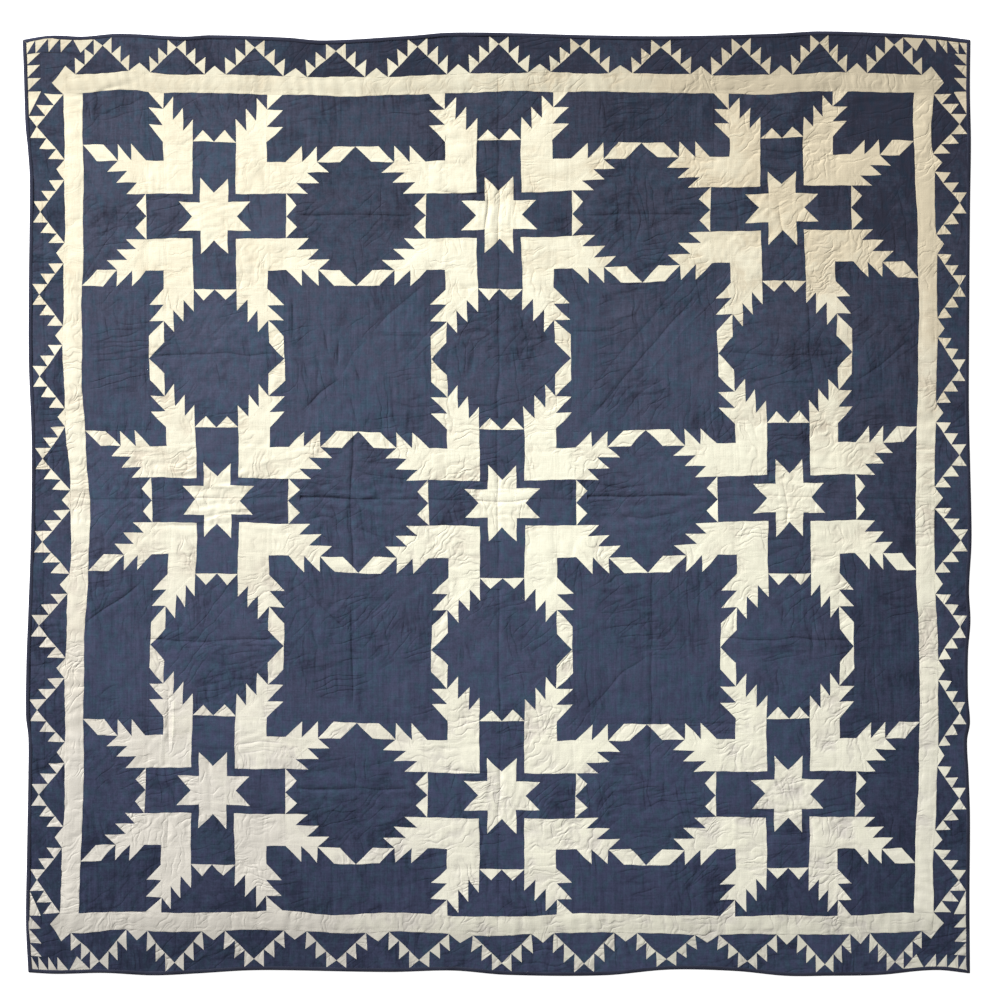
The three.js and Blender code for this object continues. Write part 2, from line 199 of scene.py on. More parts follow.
# Moves a place of the plan by those waves, which are gone at the outer edge
def handSewn(u, v):
    inset = np.minimum(outerU - np.abs(u), outerV - np.abs(v))
    sway = seamSway["height"] * np.clip((inset - seamSway["still"]) / seamSway["fade"], 0, 1)
    moves = []
    for way in ("right", "headwards"):
        moves.append(sum(share * np.sin(a * u + b * v + phase) for a, b, phase, share in seamWaves[way]))
    return u + sway * moves[0], v + sway * moves[1]


def placeRaw(u, v):
    inU = np.clip(u, -fieldU, fieldU)
    inV = np.clip(v, -fieldV, fieldV)
    off = ((inU - edgePull["u"]) ** 2 + (inV - edgePull["v"]) ** 2) / edgePull["reach"] ** 2
    x = inU + shiftRight(inU, inV) + edgePull["dx"] * np.exp(-off)
    y = inV + shiftUp(inU, inV)
    down = -v * cut["quiltHalfHeight"] / outerV
    right = u * cut["quiltHalfWidth"] / outerU
    swingX = np.where(u < 0, shiftAt(edgeSwings["left"], down), shiftAt(edgeSwings["right"], down))
    swingY = np.where(v < 0, shiftAt(edgeSwings["foot"], right), shiftAt(edgeSwings["head"], right))
    outlineX = np.sign(u) * (cut["quiltHalfWidth"] + swingX)
    outlineY = np.sign(v) * (cut["quiltHalfHeight"] + swingY)
    x = np.where(np.abs(u) > fieldU, beyondField(x, outlineX, np.abs(u) - fieldU), x)
    y = np.where(np.abs(v) > fieldV, beyondField(y, outlineY, np.abs(v) - fieldV), y)
    return x, y


def outlineMiddle():
    run = np.linspace(-1, 1, 1201)
    edge = np.ones(run.size)
    sides = [placeRaw(run * outerU, edge * outerV), placeRaw(run * outerU, -edge * outerV)]
    sides += [placeRaw(edge * outerU, run * outerV), placeRaw(-edge * outerU, run * outerV)]
    x = np.concatenate([side[0] for side in sides])
    y = np.concatenate([side[1] for side in sides])
    return (x.min() + x.max()) / 2, (y.min() + y.max()) / 2


middleX, middleY = outlineMiddle()
print("outline's middle", round(middleX, 5), round(middleY, 5))


# From a place in the cutting plan to its place on the finished quilt
def place(u, v):
    shape = np.shape(u)
    u, v = handSewn(np.ravel(u).astype(float), np.ravel(v).astype(float))
    x, y = placeRaw(u, v)
    return (x - middleX).reshape(shape), (y - middleY).reshape(shape)


# Smooth random heights from -1 to 1: those of a square lattice, eased from corner to corner
def unevenness(x, y, cell, seed):
    size = 128
    lattice = np.random.default_rng(seed).uniform(-1, 1, (size, size))
    gx = x / cell + 0.37 * size
    gy = y / cell + 0.61 * size
    i = np.floor(gx).astype(int)
    j = np.floor(gy).astype(int)
    fx = gx - i
    fy = gy - j
    fx = fx * fx * (3 - 2 * fx)
    fy = fy * fy * (3 - 2 * fy)
    a = lattice[i % size, j % size] * (1 - fx) + lattice[(i + 1) % size, j % size] * fx
    b = lattice[i % size, (j + 1) % size] * (1 - fx) + lattice[(i + 1) % size, (j + 1) % size] * fx
    return a * (1 - fy) + b * fy


# Creases of the cloth: (depth, points that it runs through) in millimetres. A negative depth is a ridge.
creases = {
    "level": [
        (0.9, [(-900, 13), (-600, 10), (-440, 14)]),
        (1.7, [(-446, 14), (-380, 15), (-309, 11), (-225, 8)]),
        (1.0, [(-240, 9), (-144, 9), (0, 5), (150, 10)]),
        (1.6, [(150, 14), (235, 17), (300, 14), (423, 19)]),
        (0.7, [(420, 19), (640, 16), (900, 11)]),
        (0.9, [(-434, 23), (-399, 21), (-372, 13)]),
        (0.9, [(-407, 46), (-369, 36), (-335, 42)]),
        (0.8, [(-401, 60), (-342, 50), (-308, 61)]),
        (0.8, [(-356, 28), (-318, 27)]),
        (0.9, [(-298, 86), (-270, 86), (-250, 93)]),
        (1.0, [(-305, 71), (-261, 59), (-192, 50)]),
        (1.0, [(-401, -36), (-369, -25), (-345, -28), (-320, -45)]),
        (0.9, [(-386, -68), (-354, -77), (-334, -81)]),
        (0.8, [(-352, -89), (-316, -95)]),
        (1.0, [(-295, -46), (-258, -67), (-227, -78)]),
        (0.8, [(195, 44), (260, 34), (330, 40)]),
        (0.9, [(250, -22), (310, -30), (385, -18)]),
        (1.1, [(-430, 606), (-300, 604), (-172, 607)]),
        (0.9, [(180, 604), (300, 607), (425, 605)]),
        (1.1, [(-742, 312), (-600, 314), (-452, 312)]),
        (0.8, [(470, 316), (600, 312), (735, 315)]),
        (1.2, [(-742, -285), (-610, -287), (-450, -284)]),
        (1.2, [(462, -285), (600, -283), (752, -287)]),
        (1.1, [(-432, -597), (-310, -599), (-178, -596)]),
        (-0.4, [(-270, 361), (-205, 359), (-148, 361)]),
        (0.5, [(-266, 352), (-150, 351)]),
        (1.0, [(154, 364), (205, 362), (256, 365)]),
        (1.0, [(-130, 655), (-60, 648), (-5, 652)]),
        (0.8, [(-760, 640), (-700, 646), (-655, 640)]),
        (0.8, [(540, 745), (600, 738), (665, 744)]),
        (0.9, [(-560, -505), (-500, -498), (-440, -507)]),
        (0.7, [(-545, -522), (-490, -518), (-452, -526)]),
        (0.8, [(-120, -560), (-60, -566), (10, -561)]),
        (0.8, [(530, -640), (600, -648), (660, -641)]),
    ],
    "upright": [
        (1.0, [(2, 905), (4, 500), (0, 160), (3, -150)]),
        (0.9, [(3, -150), (6, -500), (2, -905)]),
        (1.4, [(-304, 158), (-307, 0), (-303, -150)]),
        (1.5, [(-308, -210), (-306, -320), (-304, -432)]),
        (1.0, [(324, -138), (326, -300), (322, -600)]),
        (1.1, [(652, 430), (656, 330), (667, 240)]),
        (1.0, [(662, -243), (658, -327)]),
        (1.1, [(-408, 192), (-372, 232), (-327, 268)]),
        (0.5, [(-335, 262), (-301, 313), (-270, 345)]),
        (0.7, [(-262, 356), (-228, 394), (-124, 481)]),
        (1.4, [(-432, 436), (-431, 338)]),
        (1.2, [(-372, 380), (-348, 305)]),
        (2.0, [(-333, 346), (-332, 286)]),
        (1.3, [(-301, 300), (-280, 246)]),
        (1.0, [(-309, 229), (-291, 160)]),
        (1.1, [(-337, 454), (-323, 424)]),
        (0.9, [(193, 177), (300, 300), (423, 449)]),
        (-0.4, [(222, 168), (330, 290), (438, 420)]),
        (0.5, [(168, 205), (270, 330), (372, 446)]),
        (1.0, [(-424, -153), (-372, -215), (-309, -273)]),
        (0.8, [(-300, -272), (-262, -230), (-206, -180)]),
        (0.8, [(196, -429), (269, -351), (319, -314)]),
        (0.4, [(319, -314), (339, -279), (365, -262), (397, -221)]),
        (1.3, [(-869, -254), (-800, -205), (-742, -159)]),
        (1.0, [(868, 350), (800, 290), (748, 258)]),
        (1.0, [(-952, 640), (-948, 300), (-946, 50)]),
        (1.0, [(-953, -35), (-948, -300), (-949, -620)]),
        (1.1, [(-648, 861), (-606, 792)]),
        (-0.9, [(-629, 866), (-588, 799)]),
        (1.1, [(-612, 859), (-574, 801)]),
        (1.3, [(-690, -389), (-686, -536)]),
        (-0.8, [(-677, -401), (-680, -521)]),
        (1.2, [(-688, -651), (-692, -729)]),
        (1.1, [(696, -840), (699, -874)]),
        (0.9, [(-24, 700), (-20, 610), (-27, 560)]),
        (0.8, [(34, 690), (38, 640), (33, 590)]),
        (0.8, [(-640, 700), (-632, 655)]),
        (0.9, [(590, 640), (602, 570), (598, 530)]),
        (0.8, [(598, 60), (612, -10), (606, -60)]),
        (0.8, [(-40, -640), (-30, -700), (-36, -745)]),
    ],
}

creaseForm = {"reach": 4.2 * mm, "taper": 26 * mm, "wander": 3.5 * mm, "marked": 7 * mm, "looked": 22 * mm}


# How far each point lies across its nearest crease, how far from it in all, and that crease's depth,
# which tapers towards both its ends
def nearestCrease(x, y, family):
    across, nearest, depth = np.ones(x.size), np.ones(x.size), np.zeros(x.size)
    allX, allY = np.ravel(x), np.ravel(y)
    wander = creaseForm["wander"] * unevenness(allX, allY, 46 * mm, 7)
    looked = creaseForm["looked"]
    for deep, line in creases[family]:
        line = np.array(line, float) * mm
        steps = np.diff(line, axis=0)
        lengths = np.hypot(steps[:, 0], steps[:, 1])
        before = np.concatenate([[0], np.cumsum(lengths)])
        for (startX, startY), (runX, runY), length, passed in zip(line, steps, lengths, before):
            close = np.abs(allX - startX - runX / 2) < abs(runX) / 2 + looked
            close &= np.abs(allY - startY - runY / 2) < abs(runY) / 2 + looked
            near = np.flatnonzero(close)
            stepX, stepY = allX[near] - startX, allY[near] - startY
            along = (stepX * runX + stepY * runY) / length
            off = (stepX * runY - stepY * runX) / length + wander[near]
            distance = np.hypot(off, np.maximum(np.maximum(-along, along - length), 0))
            travelled = passed + np.clip(along, 0, length)
            taper = np.clip(np.minimum(travelled, before[-1] - travelled) / creaseForm["taper"], 0, 1)
            closer = distance < nearest[near]
            across[near[closer]] = off[closer]
            depth[near[closer]] = deep * mm * taper[closer]
            nearest[near[closer]] = distance[closer]
    return across.reshape(x.shape), nearest.reshape(x.shape), depth.reshape(x.shape)


def foldsAt(x, y):
    return {family: nearestCrease(x, y, family) for family in creases}


# What the points carry for the finish, which marks the sharp line of each crease
def creaseMarks(folds):
    marks = {}
    for family, (across, nearest, depth) in folds.items():
        marks[family + "Off"] = across
        marks[family + "Deep"] = depth * np.clip(1.5 - nearest / creaseForm["marked"], 0, 1)
    return marks


# Depth of all creases: a soft trough across each line
def creaseDepth(folds):
    reach = creaseForm["reach"]
    return sum(depth * np.exp(-((nearest / reach) ** 2)) for across, nearest, depth in folds.values())


# The same places in axes turned by an angle: along and across
def turnedAxes(x, y, degrees):
    c = math.cos(math.radians(degrees))
    s = math.sin(math.radians(degrees))
    return x * c + y * s, y * c - x * s


# Patches of fine ripples where the cloth has drawn up, in millimetres:
# (middleX, middleY, crest direction in degrees, wave, reach along the crests, reach across, height)
ripples = [
    (-620, 20, 2, 24, 230, 100, 0.62),
    (-600, -8, 8, 13, 250, 90, 0.25),
    (-335, 12, -9, 27, 105, 75, 0.75),
    (-250, 35, 14, 22, 70, 50, 0.5),
    (4, 612, 90, 17, 80, 95, 0.3),
    (8, 6, 0, 13, 110, 100, 0.26),
    (290, -20, 6, 30, 120, 80, 0.4),
    (-462, -512, 0, 17, 110, 36, 0.45),
    (-690, -600, 90, 16, 110, 60, 0.35),
    (620, 30, -4, 24, 160, 110, 0.3),
    (590, 600, 60, 19, 130, 110, 0.26),
    (-605, 600, 20, 17, 130, 120, 0.16),
    (10, -610, 75, 19, 130, 110, 0.26),
    (600, -600, 100, 19, 130, 120, 0.26),
    (-605, 312, 30, 24, 100, 60, 0.3),
    (-610, -300, -20, 26, 110, 70, 0.34),
    (300, 600, 25, 26, 110, 80, 0.28),
    (-300, -600, -15, 28, 110, 80, 0.36),
    (300, -600, 20, 26, 110, 80, 0.36),
]


def rippleHeight(x, y):
    height = np.zeros(np.shape(x))
    bend = 16 * mm * unevenness(x, y, 75 * mm, 11) + 4 * mm * unevenness(x, y, 24 * mm, 12)
    for spotX, spotY, turn, wave, along, across, high in ripples:
        a, b = turnedAxes(x - spotX * mm, y - spotY * mm, turn)
        fade = np.exp(-((a / (along * mm)) ** 2) - (b / (across * mm)) ** 2)
        height += high * mm * fade * np.sin(2 * math.pi * (b + bend) / (wave * mm))
    return height


# Wrinkles with no order: (turn in degrees, width and length of a cell in millimetres, depth, seed)
wrinkles = [
    (4, 46, 130, 0.75, 31),
    (93, 42, 120, 0.75, 32),
    (47, 44, 110, 0.6, 33),
    (-38, 44, 110, 0.6, 34),
    (20, 26, 60, 0.4, 35),
    (110, 26, 60, 0.4, 36),
]


# A soft valley wherever long, stretched noise crosses nought, in scattered places
def wrinkleDepth(x, y):
    depth = np.zeros(np.shape(x))
    pushX = 14 * mm * unevenness(x, y, 60 * mm, 41)
    pushY = 14 * mm * unevenness(x, y, 60 * mm, 42)
    for turn, width, length, deep, seed in wrinkles:
        along, across = turnedAxes(x + pushX, y + pushY, turn)
        noise = unevenness(across, along * width / length, width * mm, seed)
        scattered = np.clip(1.8 * unevenness(x, y, 95 * mm, seed + 20), 0, 1)
        depth += deep * mm * scattered * np.exp(-((noise / 0.2) ** 2))
    return depth


# Swells of the wadding under the top: (height and width in millimetres, seed)
waddingSwells = [(0.5, 120, 3), (0.35, 47, 4), (0.22, 21, 6)]


# What the whole top does, over its seams: creases, ripples, wrinkles and its wadding's unevenness
def drape(x, y, folds):
    swell = sum(high * mm * unevenness(x, y, wide * mm, seed) for high, wide, seed in waddingSwells)
    return swell + rippleHeight(x, y) - creaseDepth(folds) - wrinkleDepth(x, y)


# How a patch swells between its seams
puff = {
    "seam": 5.0 * mm,
    "under": 2.1 * mm,  # where the patch's own sides end, inside the wadding
    "lowest": 2.7 * mm,
    "highest": 8.0 * mm,
    "soft": 5 * mm,  # over this distance from the seam it rises
    "quiltInset": 6 * mm,
    "quiltDip": 0.25 * mm,
    "quiltWidth": 1.9 * mm,
}


# Short puckers across the white strips, where the sewing thread has drawn them up
pucker = {"wave": 27 * mm, "height": 0.42 * mm}


# Closer or wider waves across a strip, along u on head and foot and along v on the sides
def stripPuckers(u, v):
    level = np.abs(v) - fieldV > -1 * mm
    along = np.where(level, u, v)
    beyond = np.where(level, np.abs(v) - fieldV, np.abs(u) - fieldU)
    onStrip = (beyond > -1 * mm) & (beyond < cut["stripWidth"] + 1 * mm)
    drawn = 20 * mm * unevenness(along, beyond * 0.5, 60 * mm, 51)
    strength = np.clip(0.55 + 0.7 * unevenness(along, beyond, 130 * mm, 52), 0, 1)
    wave = np.sin(2 * math.pi * (along + drawn + 0.12 * beyond) / pucker["wave"])
    return np.where(onStrip, pucker["height"] * strength * wave, 0.0)


def patchHeight(u, v, x, y, gap, look, folds):
    rise = look["crown"] * (1 - np.exp(-gap / puff["soft"]))
    dip = puff["quiltDip"] * np.exp(-(((gap - puff["quiltInset"]) / puff["quiltWidth"]) ** 2))
    fine = np.minimum(gap / (4 * mm), 1) * 0.16 * mm * unevenness(x, y, 11 * mm, 5)
    z = puff["seam"] + rise - dip * look["quilted"] + fine + drape(x, y, folds) + stripPuckers(u, v)
    return np.clip(z, puff["lowest"], puff["highest"])


# Positions from 0 to 1 over a length, closer by both ends where the seams are
def seamSteps(length, spacing):
    near = np.array([0, 1.6, 3.8, 6, 8.4]) * mm
    near = near[near < length / 2 - spacing / 2]
    inner = length - 2 * near[-1]
    count = max(int(round(inner / spacing)), 1)
    between = near[-1] + inner * np.arange(1, count) / count
    return np.concatenate([near, between, (length - near)[::-1]]) / length


# Faces of a web of rows and columns, from the numbers of its points, and the loop round its rim
def webFaces(index):
    return np.stack([index[:-1, :-1], index[1:, :-1], index[1:, 1:], index[:-1, 1:]], axis=-1).reshape(-1, 4)


def webRim(index):
    return np.concatenate([index[:-1, 0], index[-1, :-1], index[:0:-1, -1], index[0, :0:-1]])


# Corner weights of an even rectangle web; returns weights, faces and the rim's loop
def rectangleWeb(along, across):
    s, t = np.meshgrid(along, across, indexing="ij")
    weights = np.stack([(1 - s) * (1 - t), s * (1 - t), s * t, (1 - s) * t], axis=-1).reshape(-1, 4)
    index = np.arange(s.size).reshape(s.shape)
    return weights, webFaces(index), webRim(index)


# Corner weights of a web of kites, one from the middle of the patch to each of its corners.
# Each kite is a two-way blend of the middle, the two edge middles beside the corner, and the corner.
def kiteWeb(sides, steps):
    s, t = np.meshgrid(steps, steps, indexing="ij")
    unit = np.eye(sides)
    count = len(steps)
    kites = []
    faces = []
    rim = []
    index = np.arange(s.size).reshape(s.shape)
    quads = webFaces(index)
    for k in range(sides):
        before = (unit[k] + unit[k - 1]) / 2
        after = (unit[k] + unit[(k + 1) % sides]) / 2
        middle = np.full(sides, 1 / sides)
        kite = ((1 - s) * (1 - t))[..., None] * middle + (s * (1 - t))[..., None] * before
        kite = kite + (s * t)[..., None] * unit[k] + ((1 - s) * t)[..., None] * after
        kites.append(kite.reshape(-1, sides))
        faces.append(quads + k * count * count)
        rim.append(np.concatenate([index[-1, :-1], index[:0:-1, -1]]) + k * count * count)
    weights = np.concatenate(kites)
    first, merged = np.unique(np.round(weights, 7), axis=0, return_index=True, return_inverse=True)[1:]
    merged = merged.ravel()
    return weights[first], merged[np.concatenate(faces)], merged[np.concatenate(rim)]


# Collects the points and faces of many patches, then makes them one mesh
class Heap:
    def __init__(self):
        self.points = []
        self.faces = []
        self.smooth = []
        self.values = {}
        self.count = 0

    def add(self, points, faceArrays, smooth, **values):
        self.points.append(points.reshape(-1, 3))
        for faces, flag in zip(faceArrays, smooth):
            self.faces.append(faces + self.count)
            self.smooth.append(np.full(len(faces), flag))
        for name, value in values.items():
            self.values.setdefault(name, []).append(np.ravel(value))
        self.count += points.reshape(-1, 3).shape[0]

    def build(self, name, material):
        mesh = bpy.data.meshes.new(name)
        points = np.concatenate(self.points)
        sizes = np.concatenate([np.full(len(f), f.shape[1]) for f in self.faces])
        corners = np.concatenate([f.ravel() for f in self.faces])
        mesh.vertices.add(len(points))
        mesh.vertices.foreach_set("co", points.ravel())
        mesh.loops.add(len(corners))
        mesh.loops.foreach_set("vertex_index", corners.astype(np.int32))
        mesh.polygons.add(len(sizes))
        mesh.polygons.foreach_set("loop_start", (np.cumsum(sizes) - sizes).astype(np.int32))
        mesh.polygons.foreach_set("use_smooth", np.concatenate(self.smooth))
        for key, value in self.values.items():
            attribute = mesh.attributes.new(key, "FLOAT", "POINT")
            attribute.data.foreach_set("value", np.concatenate(value).astype(np.float32))
        mesh.update(calc_edges=True)
        # edges of flat faces are sharp, so that a patch's sides don't shade its top
        edgeOf = np.empty(len(corners), np.int32)
        mesh.loops.foreach_get("edge_index", edgeOf)
        flatCorner = np.repeat(~np.concatenate(self.smooth), sizes)
        sharp = np.zeros(len(mesh.edges), bool)
        sharp[edgeOf[flatCorner]] = True
        mesh.attributes.new("sharp_edge", "BOOLEAN", "EDGE").data.foreach_set("value", sharp)
        piece = bpy.data.objects.new(name, mesh)
        bpy.context.scene.collection.objects.link(piece)
        mesh.materials.append(material)
        return piece


# Shader sockets that can be added, multiplied and so on, which adds the Math nodes
class Wire:
    def __init__(self, finish, socket):
        self.finish = finish
        self.socket = socket

    def reckon(self, operation, first, second):
        return self.finish.node("ShaderNodeMath", {"operation": operation}, {0: first, 1: second})

    def __add__(self, other):
        return self.reckon("ADD", self, other)

    def __radd__(self, other):
        return self.reckon("ADD", other, self)

    def __sub__(self, other):
        return self.reckon("SUBTRACT", self, other)

    def __rsub__(self, other):
        return self.reckon("SUBTRACT", other, self)

    def __mul__(self, other):
        return self.reckon("MULTIPLY", self, other)

    def __rmul__(self, other):
        return self.reckon("MULTIPLY", other, self)

    def __truediv__(self, other):
        return self.reckon("DIVIDE", self, other)

    def __rtruediv__(self, other):
        return self.reckon("DIVIDE", other, self)

    def __pow__(self, other):
        return self.reckon("POWER", self, other)


class Finish:
    def __init__(self, name, roughness, sheen=0.0):
        self.material = bpy.data.materials.new(name)
        self.material.use_nodes = True
        self.tree = self.material.node_tree
        self.shader = self.tree.nodes["Principled BSDF"]
        self.shader.inputs["Roughness"].default_value = roughness
        self.shader.inputs["Specular IOR Level"].default_value = 0.2
        self.shader.inputs["Sheen Weight"].default_value = sheen
        self.shader.inputs["Sheen Roughness"].default_value = 0.5
        self.place = self.node("ShaderNodeTexCoord", out="Object")

    # Any node: its settings first, then values or wires for its sockets
    def node(self, kind, settings=None, sockets=None, out=0):
        node = self.tree.nodes.new(kind)
        for key, value in (settings or {}).items():
            setattr(node, key, value)
        for key, value in (sockets or {}).items():
            if isinstance(value, Wire):
                self.tree.links.new(value.socket, node.inputs[key])
            else:
                node.inputs[key].default_value = value
        return Wire(self, node.outputs[out])

    # Coordinates in which one wave is so many metres wide and long, turned by an angle
    def stretched(self, width, length, turn=0.0, where=None):
        sockets = {"Vector": where or self.place, "Scale": (width, length, 1), "Rotation": (0, 0, turn)}
        return self.node("ShaderNodeMapping", {"vector_type": "TEXTURE"}, sockets)

    # Noise from -1 to 1, fineness in waves a metre
    def noise(self, fineness, detail=2.0, where=None, rough=0.5):
        sockets = {"Vector": where or self.place, "Scale": fineness, "Detail": detail, "Roughness": rough}
        return self.node("ShaderNodeTexNoise", {"noise_dimensions": "3D"}, sockets, out="Fac") * 2 - 1

    # The same in streaks so many millimetres wide and long
    def streaks(self, width, length, detail=1, rough=0.5):
        return self.noise(1.0, detail, self.stretched(width * mm, length * mm), rough)

    # Thicker threads both ways in the weave
    def slubs(self, length, width=2.4):
        return self.streaks(width, length) + self.streaks(length, width)

    # Coordinates pushed about by noise, by up to half the amount in metres
    def bent(self, fineness, amount):
        sockets = {"Vector": self.place, "Scale": fineness, "Detail": 2.0}
        push = self.node("ShaderNodeTexNoise", {"noise_dimensions": "3D"}, sockets, out="Color")
        push = self.node("ShaderNodeVectorMath", {"operation": "SUBTRACT"}, {0: push, 1: (0.5, 0.5, 0.5)})
        push = self.node("ShaderNodeVectorMath", {"operation": "SCALE"}, {0: push, "Scale": amount})
        return self.node("ShaderNodeVectorMath", {"operation": "ADD"}, {0: self.place, 1: push})

    # Fine crease lines where stretched noise crosses nought, 1 / (1 + (noise * sharp)^2), in scattered
    # places. Rows are (width and length in millimetres, turn, fineness of the places, seed).
    def crinkles(self, rows, sharp, where):
        found = []
        for width, length, turn, spread, seed in rows:
            lines = self.noise(1.0, 1.0, self.stretched(width * mm, length * mm, turn, where))
            moved = {0: self.place, 1: (seed, seed, seed)}
            shift = self.node("ShaderNodeVectorMath", {"operation": "ADD"}, moved)
            scattered = self.between(self.noise(spread, 1.0, shift), 0.0, 0.22)
            found.append(scattered / (1 + (lines * sharp) ** 2))
        return found

    def carried(self, name):
        return self.node("ShaderNodeAttribute", {"attribute_name": name}, out="Fac")

    # The sharp line of the creases: their depth in millimetres / (1 + (off / halfWidth)^2)^2
    def creaseLines(self, halfWidth):
        lines = []
        for family in ("level", "upright"):
            off = self.carried(family + "Off") / halfWidth
            lines.append(self.carried(family + "Deep") / mm / (1 + off ** 2) ** 2)
        return lines[0] + lines[1]

    def blend(self, factor, first, second):
        sockets = {0: factor, 6: (*first, 1) if isinstance(first, tuple) else first}
        sockets[7] = (*second, 1) if isinstance(second, tuple) else second
        return self.node("ShaderNodeMix", {"data_type": "RGBA", "clamp_factor": True}, sockets, out=2)

    def between(self, value, low, high):
        sockets = {"Value": value, "From Min": low, "From Max": high}
        return self.node("ShaderNodeMapRange", {"clamp": True}, sockets)

    def split(self, axis):
        return self.node("ShaderNodeSeparateXYZ", None, {0: self.place}, out=axis)

    def connect(self, **sockets):
        for name, wire in sockets.items():
            self.tree.links.new(wire.socket, self.shader.inputs[name.replace("_", " ")])

    def bump(self, height, strength, distance):
        sockets = {"Height": height, "Strength": strength, "Distance": distance}
        self.connect(Normal=self.node("ShaderNodeBump", None, sockets))

    # From the darker or fresher of two screen colours to the other
    def dyed(self, factor, first, second):
        return self.blend(factor, tint(*first), tint(*second))


# A screen colour as the shader's own light values
def tint(*screen):
    return tuple(((c / 255 + 0.055) / 1.055) ** 2.4 if c > 10 else c / 255 / 12.92 for c in screen)


# The dye's darkest and lightest tone by the head, where it has gone grey, and by the foot, and how it varies
indigoDye = {
    "head": ((36, 38, 54), (82, 87, 109)),
    "foot": ((29, 34, 56), (75, 81, 112)),
    "teal": ((25, 39, 56), (65, 93, 112)),
    "tealShare": 0.75,
    "middle": 0.52,
    "clouds": 0.12,
    "patchDifference": 0.05,
    # painted shade, partly dirt: how much darker the creases and wrinkles are
    "creaseShade": 0.17,
    "wrinkleShade": 0.17,
    # painted shade: how much darker the patches are by their seams
    "seamShade": 0.03,
    # painted falloff of the light: how much darker towards the head
    "headShade": 0.16,
    "headRightShade": 0.13,
    "footLeftShade": 0.2,
    "grain": 0.16,
    "slubs": 0.09,
    "wrinkles": [(26, 150, 0.1, 9, 3.1), (140, 24, 0.2, 8, 7.7), (24, 110, -0.8, 7, 12.3)],
    "wrinkleSharp": 13,
    "relief": 0.7 * mm,
}


# Plain-woven indigo cotton: dyed in blotches and streaks, darker at head right and foot left; painted shade
# in its creases, wrinkles and seams, and a painted falloff of the light towards the right, the foot and the
# head
def indigoFinish(name, blotches, uprightStreaks, levelStreaks, dull=0.0, rightShade=0.28, footShade=0.12):
    dye = indigoDye
    f = Finish(name, 0.9, 0.1)
    bent = f.bent(14, 0.03)
    upright = f.streaks(7, 110, 2, 0.6)
    level = f.streaks(130, 6, 2, 0.6)
    slubs = f.slubs(30)
    grain = f.noise(260, 1)
    blotch = f.noise(70, 4, rough=0.65)
    cloud = f.noise(11, 2)
    drift = f.noise(9, 2)
    mottle = f.streaks(14, 22, 3, 0.6)
    upwards, sideways, slanting = f.crinkles(dye["wrinkles"], dye["wrinkleSharp"], bent)
    wrinkles = upwards + sideways + slanting * 0.8
    folds = f.creaseLines(2.6 * mm)
    across = f.split("X")
    up = f.split("Y")
    seam = f.between(f.carried("gap"), 0, 6 * mm)
    light = dye["middle"] - dull + blotch * blotches + cloud * dye["clouds"] + grain * dye["grain"]
    light = light + upright * uprightStreaks + level * levelStreaks + slubs * dye["slubs"]
    # a patch's own tone, and painted shade darker by its seams
    light = light + f.carried("tone") * dye["patchDifference"] - (1 - seam) ** 2 * dye["seamShade"]
    # painted shade, partly dirt: darker along the creases and the wrinkles
    light = light - folds * dye["creaseShade"] - wrinkles * dye["wrinkleShade"]
    # painted falloff of the light: darker towards the right and towards the foot
    light = light - f.between(across, 0.5, 0.9) * rightShade - f.between(up, -0.5, -0.95) * footShade
    headRight = f.between(up, 0.3, 0.7) * f.between(across, -0.55, -0.1)
    footLeft = f.between(up, -0.3, -0.7) * f.between(across, 0.1, -0.5)
    light = light - headRight * dye["headRightShade"] - footLeft * dye["footLeftShade"]
    # painted falloff of the light: darker towards the head
    light = light - f.between(up, 0.3, 0.9) * dye["headShade"]
    hue = 0.5 - up * 0.75 + drift * 0.5
    head, foot, teal = [f.dyed(light, *dye[key]) for key in ("head", "foot", "teal")]
    tealness = f.between(mottle + drift * 0.4, -0.15, 0.35) * dye["tealShare"]
    f.connect(Base_Color=f.blend(tealness, f.blend(hue, head, foot), teal))
    f.bump(slubs * 0.12 + upright * 0.2 + blotch * 0.2 - wrinkles * 0.8 - folds * 0.6, 1.0, dye["relief"])
    return f.material


# How the white cotton has aged: its fresh tone, and its aged tones by the head and by the foot
whiteAge = {
    "fresh": (239, 237, 215),
    "agedHead": (204, 192, 166),
    "agedFoot": (203, 198, 188),
    "freshSpot": (0.25, 0.0),  # on the quilt, in metres
    "spread": 0.42,
    "corners": 1.3,
    "least": 0.04,
    "stains": 0.22,
    "fine": 0.2,
    "slubs": 0.08,
    "patchDifference": 0.06,
    "wrinkles": [(90, 17, 0.15, 14, 2.3), (20, 80, 0.1, 12, 5.9), (20, 70, -0.7, 11, 9.4)],
    "wrinkleSharp": 8,
    # painted shade, partly dirt: how far the wrinkles and creases go towards the aged tones
    "wrinkleShade": 0.28,
    "creaseShade": 0.35,
    "relief": 0.6 * mm,
    "smoothCorner": 0.75,  # how much smoother the cloth lies at head left
    "borderEnds": 0.17,  # how much darker the border is along head and foot than along the sides
}
